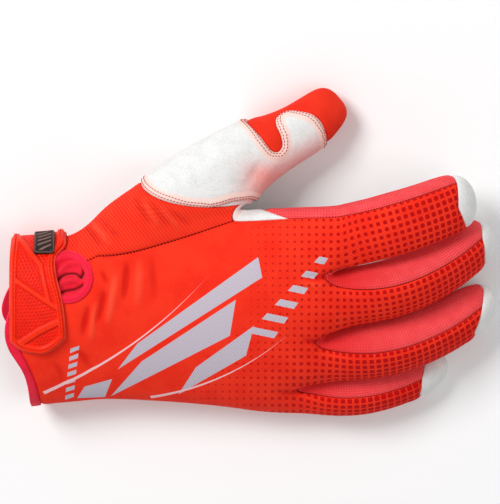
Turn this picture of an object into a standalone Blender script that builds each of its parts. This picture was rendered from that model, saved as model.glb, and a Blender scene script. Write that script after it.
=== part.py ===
"""Motocross glove for a right hand, filled out as if worn and lying palm down.

Metres. X runs from the cuff to the fingertips, Y to the thumb's side and Z up from the surface that
the palm lies on. The origin is at the bottom centre of the glove's box.

The glove's skin is one coarse cage of sections, smoothed by subdivision. Each sewn panel is the part
of that skin inside its seams, made a closed solid one fabric thickness deep.
"""

import math

import bmesh
import bpy
from mathutils import Matrix, Vector
from mathutils.bvhtree import BVHTree

# Hand: hem to finger webs, width round the back at the knuckles, depth from back to palm
HAND_LENGTH = 0.1365
HAND_WIDTH = 0.104
HAND_DEPTH = 0.034

# Fabric and seams
FABRIC = 0.0016
SEAM_GAP = 0.0003
BINDING_RISE = 0.0007
CLEARANCE = 0.0003

# Fingers
FINGER_WIDTH = 0.0262
FINGER_DEPTH = 0.0240
INDEX_LENGTH = 0.0705
MIDDLE_LENGTH = 0.087
RING_LENGTH = 0.0925
LITTLE_LENGTH = 0.074

# Thumb
THUMB_LENGTH = 0.102
THUMB_WIDTH = 0.034
THUMB_DEPTH = 0.030

# How far the skin is pressed down onto the surface it lies on
SINK = 0.0014

# Strap round the wrist: along X from its start, in two layers, and angles round the wrist in degrees
WRIST_CENTRE_Y = -0.002
WRIST_CENTRE_Z = 0.020
WRIST_HALF_WIDTH = 0.039
WRIST_HALF_DEPTH = 0.020
HEM_STEP = 0.0005
STRAP_START = 0.0003
STRAP_WIDTH = 0.0248
STRAP_LIFT = 0.0013
STRAP_LAYER_GAP = 0.0005
STRAP_BACKING = 0.0010
STRAP_PAD = 0.0012
STRAP_FIRST_ANGLE = -50
PAD_FIRST_ANGLE = -18
PAD_END = 1.2
PAD_INSET = 0.0006
STRAP_ROWS = 20
STRAP_COLUMNS = 7
STRAP_END = ((0.0, 94), (0.15, 99), (0.35, 102), (0.6, 102.5), (0.8, 99), (1.0, 92))

# Badge on the strap
BADGE_START = 0.0108
BADGE_WIDTH = 0.0096
BADGE_DEPTH = 0.0010
BADGE_FIRST_ANGLE = -4
BADGE_LAST_ANGLE = 40
BADGE_CORNER = 4
BADGE_ROWS = 8

# Vent in the wrist, placed as seen from above with the view tipped towards the thumb
VIEW_TIP = 15
VENT_X = 0.0262
VENT_HEIGHT = 0.0126
VENT_INNER = 0.0086
VENT_OUTER = 0.0116
VENT_RECESS = 0.0007
VENT_LINER = 0.0011
VENT_FOLD = 0.0003
VENT_POINTS = 24
VENTED = ("back_panel", "thumb_base_panel")

# A ring of control points shrinks when it is smoothed, and these swell it back
SWELL_FINGER = 1.09
SWELL_THUMB = 1.04

# Rings of the hand, from the hem to the webs. along, skew and bow are shares of the hand's length,
# side and width of its width, and depth and scallop of its depth. seam is where the back panel starts,
# as a share of the half width. skew runs the ring forward on the little finger's side, and bow
# back where the hem is longest.
HAND_COLUMNS = "along side width depth edge roll bend seam skew bow scallop".split()
HAND_ROWS = (
    (0.033, -0.040, 0.755, 1.16, 0.36, 8, 58, 0.90, 0.028, 0.090, 0.0),
    (0.090, -0.037, 0.755, 1.16, 0.36, 8, 58, 0.84, 0.026, 0.080, 0.0),
    (0.180, -0.022, 0.770, 1.16, 0.36, 8, 58, 0.70, 0.018, 0.045, 0.0),
    (0.275, 0.004, 0.785, 1.16, 0.38, 8, 56, 0.60, 0.008, 0.012, 0.0),
    (0.380, 0.013, 0.805, 1.16, 0.42, 9, 54, 0.66, 0.0, 0.0, 0.0),
    (0.495, 0.012, 0.820, 1.14, 0.46, 10, 50, 0.79, 0.0, 0.0, 0.0),
    (0.610, 0.016, 0.860, 1.12, 0.50, 12, 48, 0.90, 0.0, 0.0, 0.0),
    (0.730, 0.020, 0.915, 1.08, 0.54, 14, 46, 1.00, 0.0, 0.0, 0.0),
    (0.860, 0.020, 0.985, 1.00, 0.58, 16, 48, 1.00, -0.03, -0.02, 0.02),
    (1.000, 0.015, 1.025, 0.86, 0.62, 18, 50, 1.00, -0.08, -0.025, 0.08),
)
# Shares of the way over the back at which its columns stand: every second one meets a web
HAND_STEPS = (0.0, 0.122, 0.25, 0.393, 0.54, 0.67, 0.80, 0.90, 1.0)
BOW_CENTRE = -0.05
BOW_REACH = 0.62
THUMB_FIRST_ROW = 3
THUMB_LAST_ROW = 7

# Fingers: length, shares of the finger width and depth, plan heading, rise and roll, and total curl
FINGER_COLUMNS = "name length width depth heading rise roll curl".split()
FINGERS = (
    ("index", INDEX_LENGTH, 0.97, 0.88, 13.4, 9, 2, 42),
    ("middle", MIDDLE_LENGTH, 0.90, 1.03, 3.8, 3.2, 35, 46),
    ("ring", RING_LENGTH, 0.90, 1.06, -2.5, 6, 44, 46),
    ("little", LITTLE_LENGTH, 0.76, 0.96, -8.7, 7.5, 50, 42),
)
STATION_COLUMNS = "along curl twist width depth edge".split()
FINGER_STATIONS = (
    (0.12, 0.06, 0.40, 0.96, 0.96, 0.66),
    (0.27, 0.22, 0.85, 0.95, 0.97, 0.72),
    (0.43, 0.46, 1.00, 0.97, 1.00, 0.72),
    (0.60, 0.70, 1.00, 0.94, 0.96, 0.72),
    (0.76, 0.88, 1.00, 0.93, 0.95, 0.70),
    (0.90, 0.98, 1.00, 0.88, 0.88, 0.62),
    (0.985, 1.00, 1.00, 0.58, 0.56, 0.60),
)
TIP_FORWARD = 0.16

# Rings of the thumb: heading in plan and rise, and the ring's slant in plan, in degrees. bow is how far
# the middle of the ring lies back, as a share of the thumb's length.
THUMB_COLUMNS = "along heading rise slant width depth edge bow".split()
THUMB_STATIONS = (
    (0.250, 50, -8, 29, 1.38, 1.10, 0.55, 0.06),
    (0.345, 33, -10, 16, 1.16, 1.04, 0.55, 0.03),
    (0.465, 35, -16, 9, 0.99, 0.98, 0.55, 0.0),
    (0.583, 27, -14, 11, 0.87, 0.90, 0.55, 0.0),
    (0.715, 20, -12, 6, 0.71, 0.84, 0.55, 0.0),
    (0.845, 31, -6, 0, 0.72, 0.78, 0.52, 0.0),
    (0.985, 40, -4, 0, 0.58, 0.52, 0.52, 0.0),
)

PANELS = (
    "back_panel",
    "palm_panel",
    "cuff_binding",
    "index_side_gusset",
    "index_middle_gusset",
    "middle_ring_gusset",
    "ring_little_gusset",
    "thumb_base_panel",
    "thumb_overlay",
    "thumb_tip",
)


# Each piece's colour, in linear light, and roughness
LOOKS = {
    "back_panel": ((0.85, 0.048, 0.018), 0.75),
    "palm_panel": ((0.78, 0.77, 0.75), 0.85),
    "cuff_binding": ((0.80, 0.028, 0.075), 0.70),
    "index_side_gusset": ((0.85, 0.075, 0.090), 0.80),
    "index_middle_gusset": ((0.85, 0.060, 0.065), 0.80),
    "middle_ring_gusset": ((0.85, 0.060, 0.065), 0.80),
    "ring_little_gusset": ((0.85, 0.055, 0.060), 0.80),
    "thumb_base_panel": ((0.83, 0.045, 0.020), 0.80),
    "thumb_overlay": ((0.82, 0.80, 0.79), 0.85),
    "thumb_tip": ((0.85, 0.052, 0.030), 0.80),
    "strap_backing": ((0.80, 0.030, 0.012), 0.70),
    "strap_pad": ((0.84, 0.036, 0.010), 0.50),
    "strap_badge": ((0.020, 0.018, 0.018), 0.45),
    "vent_binding": ((0.75, 0.025, 0.030), 0.70),
    "vent_liner": ((0.70, 0.022, 0.035), 0.80),
}


def rows_of(columns, table):
    """A table's rows as dicts by column name."""
    return [dict(zip(columns, row)) for row in table]


def section(centre, across, up, width, depth, edge, bend, steps, side=0.05, scallop=0.0, seam=1.0):
    """A closed ring of points: over the back from the across side, round, and back under the palm.

    The back and the palm each have a point at each step, and each side one point between them. The
    back starts at the seam, a share of the half width.
    """
    columns = len(steps)
    back_half = [seam - (1 + seam) * step for step in steps]
    palm_half = [1 - 2 * step for step in steps]
    total = math.radians(bend)

    def place(w, h):
        if abs(total) < 1e-6:
            return centre + across * (w * width / 2) + up * h
        radius = width / total
        angle = total * w / 2
        outward = up * math.cos(angle) + across * math.sin(angle)
        return centre + outward * (radius + h) - up * radius

    def height(w, k):
        bulge = edge + (1 - edge) * math.sqrt(max(0.0, 1 - w * w))
        ripple = scallop * (1 if k % 2 else -1) if 0 < k < columns - 1 else 0.0
        return depth / 2 * (bulge + ripple)

    back = [place(w, height(w, k)) for k, w in enumerate(back_half)]
    palm = [place(w, -height(w, k)) for k, w in enumerate(palm_half)]
    palm.reverse()
    return back + [place(-1 - side, 0.0)] + palm + [place(1 + side, 0.0)]


def turned(vector, axis, degrees):
    """The vector turned about an axis."""
    angle = math.radians(degrees)
    axis = axis.normalized()
    return (
        vector * math.cos(angle)
        + axis.cross(vector) * math.sin(angle)
        + axis * (axis.dot(vector) * (1 - math.cos(angle)))
    )


def heading_vector(heading, rise):
    """A unit vector from its heading in plan and its rise, both in degrees."""
    a, e = math.radians(heading), math.radians(rise)
    return Vector((math.cos(a) * math.cos(e), math.sin(a) * math.cos(e), math.sin(e)))


class Cage:
    """The coarse quad cage of the whole glove, each face marked with its panel."""

    def __init__(self):
        self.mesh = bmesh.new()

    def ring(self, points):
        return [self.mesh.verts.new(p) for p in points]

    def quad(self, a, b, c, d, panel):
        face = self.mesh.faces.new((a, b, c, d))
        face.material_index = PANELS.index(panel)
        face.smooth = True

    def band(self, near, far, panel_of, skip=()):
        """Quads between two rings of one length; panel_of(column) names each quad's panel."""
        count = len(near)
        for k in range(count):
            if k not in skip:
                n = (k + 1) % count
                self.quad(near[k], near[n], far[n], far[k], panel_of(k))

    def cap(self, ring, forward, back_panel, palm_panel):
        """Closes a ring with a grid two quads deep, its middle pushed forward."""
        columns = len(ring) // 2 - 1
        back = ring[:columns]
        palm = list(reversed(ring[columns + 1 : 2 * columns + 1]))
        inner = []
        for k in range(1, columns - 1):
            middle = (back[k].co + palm[k].co) / 2 + forward
            inner.append(self.mesh.verts.new(middle))
        centre = [ring[-1]] + inner + [ring[columns]]
        for k in range(columns - 1):
            self.quad(back[k], back[k + 1], centre[k + 1], centre[k], back_panel)
            self.quad(centre[k], centre[k + 1], palm[k + 1], palm[k], palm_panel)


def hand_ring(row):
    """One ring of the hand: 9 points over the back, one at each side and 9 under the palm."""
    roll = math.radians(row["roll"])
    up = Vector((0, -math.sin(roll), math.cos(roll)))
    across = Vector((0, math.cos(roll), math.sin(roll)))
    centre = Vector((row["along"] * HAND_LENGTH, row["side"] * HAND_WIDTH, 0.0))
    ring = section(
        centre,
        across,
        up,
        row["width"] * HAND_WIDTH,
        row["depth"] * HAND_DEPTH,
        row["edge"],
        row["bend"],
        HAND_STEPS,
        scallop=row["scallop"],
        seam=row["seam"],
    )
    half_width = row["width"] * HAND_WIDTH / 2
    for point in ring:
        w = (point - centre).dot(across) / half_width
        reach = min(1.0, abs(w - BOW_CENTRE) / BOW_REACH)
        bow = row["bow"] * math.cos(math.pi / 2 * reach) ** 2
        point.x -= HAND_LENGTH * (row["skew"] * w + bow)
    lowest = min(point.z for point in ring)
    for point in ring:
        point.z -= lowest
    return ring


def hand_panel(row, column):
    """The panel of a quad of the hand, by its row and its column round the ring."""
    if row == 0:
        return "cuff_binding"
    if column < 10:
        return "back_panel"
    if column < 18:
        return "palm_panel"
    return "thumb_base_panel" if row < THUMB_LAST_ROW else "index_side_gusset"


def build_hand(cage):
    """The hand's rings and faces. Returns the rings."""
    rings = [cage.ring(hand_ring(row)) for row in rows_of(HAND_COLUMNS, HAND_ROWS)]
    for r in range(len(rings) - 1):
        hole = (18, 19) if THUMB_FIRST_ROW <= r < THUMB_LAST_ROW else ()
        cage.band(rings[r], rings[r + 1], lambda k, r=r: hand_panel(r, k), hole)
    return rings


def finger_roots(cage, last):
    """Splits the hand's last ring into four rings of 8, which share the web points between them."""
    webs = [last[19]]
    for k in (2, 4, 6):
        back, palm = last[k], last[18 - k]
        middle = (back.co + palm.co) / 2
        webs.append(cage.mesh.verts.new(middle))
    webs.append(last[9])
    roots = []
    for f in range(4):
        a = 2 * f
        back = [last[a], last[a + 1], last[a + 2]]
        palm = [last[16 - a], last[17 - a], last[18 - a]]
        roots.append(back + [webs[f + 1]] + palm + [webs[f]])
    return roots


def finger_panel(finger, station, column):
    """The panel of a quad of a finger. The palm's panel wraps over the tip."""
    gussets = ("index_side_gusset", "index_middle_gusset", "middle_ring_gusset", "ring_little_gusset")
    stations = len(FINGER_STATIONS)
    if column in (6, 7):
        return gussets[finger]
    if column in (2, 3) and finger < 3:
        return gussets[finger + 1]
    if column in (0, 1, 2, 3):
        return "back_panel" if station < stations - 1 else "palm_panel"
    return "palm_panel"


def build_finger(cage, finger, root):
    """One finger from its root ring to its closed tip."""
    row = rows_of(FINGER_COLUMNS, FINGERS)[finger]
    width = row["width"] * FINGER_WIDTH * SWELL_FINGER
    depth = row["depth"] * FINGER_DEPTH * SWELL_FINGER
    along = heading_vector(row["heading"], row["rise"])
    level = Vector((0, 0, 1)).cross(along).normalized()
    across = turned(level, along, row["roll"])
    up = along.cross(across)
    root_up = root[1].co - root[5].co
    root_up = (root_up - along * root_up.dot(along)).normalized()
    untwist = math.degrees(math.atan2(root_up.dot(across), root_up.dot(up)))
    centre = (root[1].co + root[5].co) / 2
    previous, at = root, 0.0
    direction = along
    for s, station in enumerate(rows_of(STATION_COLUMNS, FINGER_STATIONS)):
        curl = station["curl"] * row["curl"]
        step = (station["along"] - at) * row["length"]
        turned_direction = turned(along, across, curl)
        centre = centre + (direction + turned_direction).normalized() * step
        direction, at = turned_direction, station["along"]
        own_up = turned(up, across, curl)
        twist = -untwist * (1 - station["twist"])
        ring = cage.ring(
            section(
                centre,
                turned(across, direction, twist),
                turned(own_up, direction, twist),
                station["width"] * width,
                station["depth"] * depth,
                station["edge"],
                0,
                (0.0, 0.5, 1.0),
                side=0.10,
            )
        )
        cage.band(previous, ring, lambda k, s=s: finger_panel(finger, s, k))
        previous = ring
    cage.cap(previous, direction * (TIP_FORWARD * depth), "palm_panel", "palm_panel")


def thumb_root(rings):
    """The edge of the hole on the hand's side: its back, the web, its palm and the wrist's side."""
    rows = range(THUMB_FIRST_ROW, THUMB_LAST_ROW + 1)
    back = [rings[r][0] for r in rows]
    palm = [rings[r][18] for r in reversed(rows)]
    return back + [rings[THUMB_LAST_ROW][19]] + palm + [rings[THUMB_FIRST_ROW][19]]


def thumb_panel(station, column):
    """The panel of a quad of the thumb: base, white overlay, and the tip with its tongue."""
    outer = column in (0, 1, 10, 11)
    palm = column in (6, 7, 8, 9)
    if station == 0:
        return "palm_panel" if palm or column in (4, 5) else "thumb_base_panel"
    if station == 4 and outer:
        return "thumb_tip"
    if station == 5 and column in (10, 11):
        return "thumb_tip"
    if station == 6 and not palm:
        return "thumb_tip"
    return "thumb_overlay"


def build_thumb(cage, root):
    """The thumb from the hole in the hand's side to its closed tip."""
    width, depth = THUMB_WIDTH * SWELL_THUMB, THUMB_DEPTH * SWELL_THUMB
    centre = sum((v.co for v in root), Vector()) / len(root)
    previous, at = root, 0.0
    for s, row in enumerate(rows_of(THUMB_COLUMNS, THUMB_STATIONS)):
        direction = heading_vector(row["heading"], row["rise"])
        centre = centre + direction * ((row["along"] - at) * THUMB_LENGTH)
        at = row["along"]
        # The ring runs from the outer side to the side that faces the fingers
        inward = heading_vector(row["heading"] - 90 + row["slant"], 0)
        up = inward.cross(direction).normalized()
        across = -inward
        ring = section(
            centre,
            across,
            up,
            row["width"] * width,
            row["depth"] * depth,
            row["edge"],
            0,
            (0.0, 0.25, 0.5, 0.75, 1.0),
            side=0.06,
        )
        for point in ring:
            w = (point - centre).dot(across) / (row["width"] * width / 2)
            point -= direction * (row["bow"] * THUMB_LENGTH * max(0.0, 1 - w * w))
        ring = cage.ring(ring)
        cage.band(previous, ring, lambda k, s=s: thumb_panel(s, k))
        previous = ring
    cage.cap(previous, direction * (TIP_FORWARD * depth), "thumb_tip", "thumb_overlay")


def glove_cage():
    """The whole cage as a bmesh."""
    cage = Cage()
    rings = build_hand(cage)
    for finger, root in enumerate(finger_roots(cage, rings[-1])):
        build_finger(cage, finger, root)
    build_thumb(cage, thumb_root(rings))
    bmesh.ops.recalc_face_normals(cage.mesh, faces=cage.mesh.faces)
    return cage.mesh


def smoothed(cage, levels, name):
    """The cage after subdivision, as a mesh object that is only a guide."""
    mesh = bpy.data.meshes.new(name)
    cage.to_mesh(mesh)
    for panel in PANELS:
        mesh.materials.append(None)
    guide = bpy.data.objects.new(name, mesh)
    bpy.context.scene.collection.objects.link(guide)
    subdivide = guide.modifiers.new("smooth", "SUBSURF")
    subdivide.levels = levels
    subdivide.render_levels = levels
    graph = bpy.context.evaluated_depsgraph_get()
    result = bpy.data.meshes.new_from_object(guide.evaluated_get(graph))
    bpy.data.objects.remove(guide)
    return result


def rested(skin):
    """Sinks the skin until it is pressed flat where it lies, and stops it at the surface."""
    for v in skin.vertices:
        v.co.z = max(0.0, v.co.z - SINK)
    skin.update()


def patch_of(skin, panel):
    """A panel's points, normals and faces on the skin, its edge drawn back by half a seam."""
    index = PANELS.index(panel)
    faces = [p for p in skin.polygons if p.material_index == index]
    edges = {}
    for face in faces:
        ends = list(face.vertices)
        for a, b in zip(ends, ends[1:] + ends[:1]):
            edges.setdefault(frozenset((a, b)), []).append((a, b, face))
    pull = {}
    for users in edges.values():
        if len(users) == 1:
            a, b, face = users[0]
            run = skin.vertices[b].co - skin.vertices[a].co
            inward = face.normal.cross(run).normalized()
            for v in (a, b):
                pull[v] = pull.get(v, Vector()) + inward
    used = sorted({v for face in faces for v in face.vertices})
    number = {v: n for n, v in enumerate(used)}
    points = []
    for v in used:
        shift = pull.get(v, Vector())
        if shift.length > 1e-6:
            shift = shift.normalized() * min(SEAM_GAP, SEAM_GAP / shift.length)
        points.append(skin.vertices[v].co + shift)
    normals = [skin.vertices[v].normal.copy() for v in used]
    return points, normals, [tuple(number[v] for v in face.vertices) for face in faces]


def solid_of(name, points, normals, faces, low, high):
    """A closed solid between two layers of a surface, low and high along its normals."""
    count = len(points)
    layers = [p + n * high for p, n in zip(points, normals)]
    layers += [p + n * low for p, n in zip(points, normals)]
    for point in layers:
        point.z = max(0.0, point.z)
    edges = {(a, b) for face in faces for a, b in zip(face, face[1:] + face[:1])}
    rim = []
    for a, b in sorted(edges):
        if (b, a) not in edges:
            under_a, under_b = a + count, b + count
            # The diagonal leaves the earlier point's upper end, as on the piece across the seam
            if a < b:
                rim += [(a, under_a, under_b), (a, under_b, b)]
            else:
                rim += [(a, under_a, b), (under_a, under_b, b)]
    under = [tuple(v + count for v in reversed(face)) for face in faces]
    mesh = bpy.data.meshes.new(name)
    mesh.from_pydata(layers, [], list(faces) + under + rim)
    mesh.update()
    return bpy.data.objects.new(name, mesh)


class Surface:
    """The skin as a surface that other pieces are laid on."""

    def __init__(self, skin):
        self.skin = skin
        self.tree = BVHTree.FromPolygons(
            [v.co for v in skin.vertices], [tuple(p.vertices) for p in skin.polygons]
        )

    def hit(self, start, direction):
        """Where a ray meets the skin, and the skin's normal there, smooth over its faces.

        A ray that passes the hem takes the skin's height just inside it.
        """
        beyond = 0.0
        point, normal, face, distance = self.tree.ray_cast(start, direction)
        while face is None:
            beyond += HEM_STEP
            inside = start + Vector((beyond, 0, 0))
            point, normal, face, distance = self.tree.ray_cast(inside, direction)
        total = Vector()
        for v in self.skin.polygons[face].vertices:
            vertex = self.skin.vertices[v]
            total += vertex.normal / ((vertex.co - point).length_squared + 1e-7)
        return point - Vector((beyond, 0, 0)), total.normalized()

    def around_wrist(self, x, angle):
        """The skin at a place round the wrist's oval: 0 degrees at the thumb's side, 90 on the back."""
        turn = math.radians(angle)
        start = Vector((x, WRIST_CENTRE_Y, WRIST_CENTRE_Z))
        y, z = WRIST_HALF_WIDTH * math.cos(turn), WRIST_HALF_DEPTH * math.sin(turn)
        return self.hit(start, Vector((0, y, z)).normalized())

    def seen(self, x, height):
        """The skin at a place as seen from above, with the view tipped towards the thumb."""
        tip = math.radians(VIEW_TIP)
        view = Vector((0, math.sin(tip), math.cos(tip)))
        up = Vector((0, math.cos(tip), -math.sin(tip)))
        return self.hit(Vector((x, 0, 0)) + up * height + view * 0.2, -view)


def grid_faces(rows, columns, cyclic=False):
    """Quads of a grid of points that is stored row by row. A cyclic grid closes each row on itself."""
    faces = []
    for r in range(rows - 1):
        for c in range(columns if cyclic else columns - 1):
            n = (c + 1) % columns
            a, b = r * columns, (r + 1) * columns
            faces.append((a + c, a + n, b + n, b + c))
    return faces


def blend(table, share):
    """The value at a share of the way along a table of (share, value) pairs."""
    for (a, low), (b, high) in zip(table, table[1:]):
        if share <= b:
            return low + (high - low) * (share - a) / (b - a)
    return table[-1][1]


def strap_layer(surface, name, first_angle, end_gap, side_gap, low, high):
    """One layer of the strap: from its first angle round to its shaped end on the back."""
    low_x, high_x = STRAP_START + side_gap, STRAP_START + STRAP_WIDTH - side_gap
    points, normals = [], []
    for c in range(STRAP_COLUMNS):
        x = low_x + (high_x - low_x) * c / (STRAP_COLUMNS - 1)
        last = blend(STRAP_END, (x - STRAP_START) / STRAP_WIDTH) - end_gap
        for r in range(STRAP_ROWS):
            angle = first_angle + (last - first_angle) * r / (STRAP_ROWS - 1)
            point, normal = surface.around_wrist(x, angle)
            points.append(point)
            normals.append(normal)
    faces = grid_faces(STRAP_COLUMNS, STRAP_ROWS)
    return solid_of(name, points, normals, faces, low, high)


def badge_layer(surface, name, low, high):
    """The badge on the strap, with its corners rounded in plan."""
    points, normals = [], []
    for c in range(5):
        across = c / 4
        corner = BADGE_CORNER if c in (0, 4) else 0
        for r in range(BADGE_ROWS):
            first, last = BADGE_FIRST_ANGLE + corner, BADGE_LAST_ANGLE - corner
            x = BADGE_START + BADGE_WIDTH * across
            angle = first + (last - first) * r / (BADGE_ROWS - 1)
            point, normal = surface.around_wrist(x, angle)
            points.append(point)
            normals.append(normal)
    return solid_of(name, points, normals, grid_faces(5, BADGE_ROWS), low, high)


def vent_outline(radius):
    """A circle about the vent's centre, as seen from above. The strap covers the half near the hem."""
    angles = [2 * math.pi * k / VENT_POINTS for k in range(VENT_POINTS)]
    return [(VENT_X + radius * math.cos(a), VENT_HEIGHT + radius * math.sin(a)) for a in angles]


def vent_solid(surface, name, radii, low, high, centred, ripple=0.0):
    """A solid over the vent between rings of the given radii, filled to its centre if asked."""
    points, normals = [], []
    for ring, radius in enumerate(radii):
        for k, (x, height) in enumerate(vent_outline(radius)):
            point, normal = surface.seen(x, height)
            wave = ripple * math.sin(4 * math.pi * k / VENT_POINTS) if ring else 0.0
            points.append(point + normal * wave)
            normals.append(normal)
    faces = grid_faces(len(radii), VENT_POINTS, cyclic=True)
    if centred:
        point, normal = surface.seen(VENT_X, VENT_HEIGHT)
        points.append(point)
        normals.append(normal)
        base, centre = (len(radii) - 1) * VENT_POINTS, len(points) - 1
        for k in range(VENT_POINTS):
            faces.append((base + k, base + (k + 1) % VENT_POINTS, centre))
    return solid_of(name, points, normals, faces, low, high)


def outward(obj):
    """Turns the faces of a closed mesh so that they all face out."""
    mesh = bmesh.new()
    mesh.from_mesh(obj.data)
    bmesh.ops.recalc_face_normals(mesh, faces=mesh.faces)
    mesh.to_mesh(obj.data)
    mesh.free()


def material(name):
    """The object's own material, from the table of colours."""
    colour, roughness = LOOKS[name]
    made = bpy.data.materials.new(name)
    made.use_nodes = True
    shader = made.node_tree.nodes["Principled BSDF"]
    shader.inputs["Base Color"].default_value = (*colour, 1)
    shader.inputs["Roughness"].default_value = roughness
    return made


def glove_pieces(skin):
    """Every piece of the glove as an object, and the shape that cuts the vent."""
    pieces = []
    for panel in PANELS:
        high = BINDING_RISE if panel == "cuff_binding" else 0.0
        pieces.append(solid_of(panel, *patch_of(skin, panel), -FABRIC, high))
    surface = Surface(skin)
    strap_top = STRAP_LIFT + STRAP_BACKING
    pad_low = strap_top + STRAP_LAYER_GAP
    pad_top = pad_low + STRAP_PAD
    pieces.append(
        strap_layer(surface, "strap_backing", STRAP_FIRST_ANGLE, 0, 0, STRAP_LIFT, strap_top)
    )
    pieces.append(
        strap_layer(surface, "strap_pad", PAD_FIRST_ANGLE, PAD_END, PAD_INSET, pad_low, pad_top)
    )
    badge_low = pad_top + CLEARANCE
    pieces.append(badge_layer(surface, "strap_badge", badge_low, badge_low + BADGE_DEPTH))
    rings = (VENT_OUTER, VENT_INNER)
    pieces.append(vent_solid(surface, "vent_binding", rings, -FABRIC, BINDING_RISE, False))
    liner = VENT_INNER - SEAM_GAP
    rings = (liner, 0.6 * liner)
    low, high = -VENT_RECESS - VENT_LINER, -VENT_RECESS
    pieces.append(vent_solid(surface, "vent_liner", rings, low, high, True, VENT_FOLD))
    rings = (VENT_OUTER + SEAM_GAP, 0.5 * VENT_OUTER)
    cutter = vent_solid(surface, "vent_cutter", rings, -3 * FABRIC, 2 * FABRIC, True)
    return pieces, cutter


def main():
    for old in list(bpy.data.objects):
        bpy.data.objects.remove(old)
    skin = smoothed(glove_cage(), 1, "skin")
    rested(skin)
    pieces, cutter = glove_pieces(skin)
    corners = [v.co for piece in pieces for v in piece.data.vertices]
    middle_x = (min(p.x for p in corners) + max(p.x for p in corners)) / 2
    middle_y = (min(p.y for p in corners) + max(p.y for p in corners)) / 2
    to_origin = Matrix.Translation((-middle_x, -middle_y, 0))
    glove = bpy.data.collections.new("motocross_glove")
    cutters = bpy.data.collections.new("cutters")
    for collection in (glove, cutters):
        bpy.context.scene.collection.children.link(collection)
    for piece in pieces + [cutter]:
        piece.data.transform(to_origin)
        outward(piece)
    for piece in pieces:
        glove.objects.link(piece)
        piece.data.materials.append(material(piece.name))
    cutters.objects.link(cutter)
    cutter.hide_render = True
    for piece in pieces:
        if piece.name in VENTED:
            cut = piece.modifiers.new("vent", "BOOLEAN")
            cut.operation = "DIFFERENCE"
            cut.solver = "EXACT"
            cut.object = cutter


main()
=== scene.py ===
"""Looks of a right-hand motocross glove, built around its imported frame.

Metres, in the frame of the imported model: X from the cuff to the fingertips, Y to the thumb's side
and Z up. The glove's skin is the same cage of sections as the solids have, smoothed finely, cut
along its seams and made into sewn panels. Strap, badge, vent and stitches are laid on that skin.
"""

import math

import bmesh
import bpy
import numpy as np
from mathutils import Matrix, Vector
from mathutils.bvhtree import BVHTree
from mathutils.kdtree import KDTree

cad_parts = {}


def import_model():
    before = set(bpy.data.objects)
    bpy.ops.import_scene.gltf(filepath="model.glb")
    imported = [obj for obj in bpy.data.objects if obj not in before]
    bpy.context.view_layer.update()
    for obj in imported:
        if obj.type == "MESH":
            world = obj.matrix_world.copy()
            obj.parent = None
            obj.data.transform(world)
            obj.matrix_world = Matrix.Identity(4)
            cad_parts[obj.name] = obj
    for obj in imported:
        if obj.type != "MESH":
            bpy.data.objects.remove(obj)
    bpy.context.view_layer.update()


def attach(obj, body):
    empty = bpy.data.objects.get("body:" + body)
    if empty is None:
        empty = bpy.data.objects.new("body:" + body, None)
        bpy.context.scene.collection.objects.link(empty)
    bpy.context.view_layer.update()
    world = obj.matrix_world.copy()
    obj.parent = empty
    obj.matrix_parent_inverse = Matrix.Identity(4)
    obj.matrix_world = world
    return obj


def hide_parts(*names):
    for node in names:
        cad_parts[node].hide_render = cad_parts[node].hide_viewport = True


MM = 0.001

# The photograph: pixels, the size of one on the glove, and where its middle lies on the glove
IMAGE_WIDTH, IMAGE_HEIGHT = 500, 504
PIXEL = 0.000455
IMAGE_X, IMAGE_HEIGHT_OFFSET = 0.0011, -0.0034
VIEW_TIP = 15
VIEW_SIN, VIEW_COS = math.sin(math.radians(VIEW_TIP)), math.cos(math.radians(VIEW_TIP))
CAMERA_RISE = 0.0005
CAMERA_LENS, CAMERA_SENSOR = 300.0, 36.0

# The directions to the camera and up in its picture, and how far off rays to the skin start
TO_CAMERA, PICTURE_UP = Vector((0, VIEW_SIN, VIEW_COS)), Vector((0, VIEW_COS, -VIEW_SIN))
RAY_START = 0.2

# From the place where the sections are built to the frame
SHIFT = (-0.107537, -0.027948, 0.0)

# Hand: hem to finger webs, width round the back at the knuckles, depth from back to palm
HAND_LENGTH = 0.1365
HAND_WIDTH = 0.104
HAND_DEPTH = 0.034
FABRIC = 0.0016
SINK = 0.0014

# Fingers and thumb
FINGER_WIDTH = 0.0262
FINGER_DEPTH = 0.0240
INDEX_LENGTH = 0.0705
MIDDLE_LENGTH = 0.087
RING_LENGTH = 0.0925
LITTLE_LENGTH = 0.074
THUMB_LENGTH = 0.102
THUMB_WIDTH = 0.034
THUMB_DEPTH = 0.030

# The wrist's oval, round which the strap's angles are measured in degrees. A ray from its middle that
# misses the skin past the hem is moved back to it in steps.
WRIST_CENTRE_Y = -0.002
WRIST_CENTRE_Z = 0.020
WRIST_HALF_WIDTH = 0.039
WRIST_HALF_DEPTH = 0.020
HEM_STEP, HEM_REACH = 0.0005, 0.05

# Strap: its cloth over the skin, and its pad over the cloth. Its end's angle depends on the share
# across it.
STRAP_START = 0.0003
STRAP_WIDTH = 0.0248
STRAP_LIFT = 0.0013
STRAP_LAYER_GAP = 0.0005
STRAP_BACKING = 0.0010
STRAP_PAD = 0.0012
PAD_UNDERSIDE = STRAP_LIFT + STRAP_BACKING + STRAP_LAYER_GAP
PAD_SINK, PAD_BODY = 0.0004, 0.0007
STRAP_FIRST_ANGLE = -50
PAD_FIRST_ANGLE = -18
PAD_END = 1.2
PAD_INSET = 0.0006
STRAP_END = ((0.0, 94), (0.15, 99), (0.35, 102), (0.6, 102.5), (0.8, 99), (1.0, 92))

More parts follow.
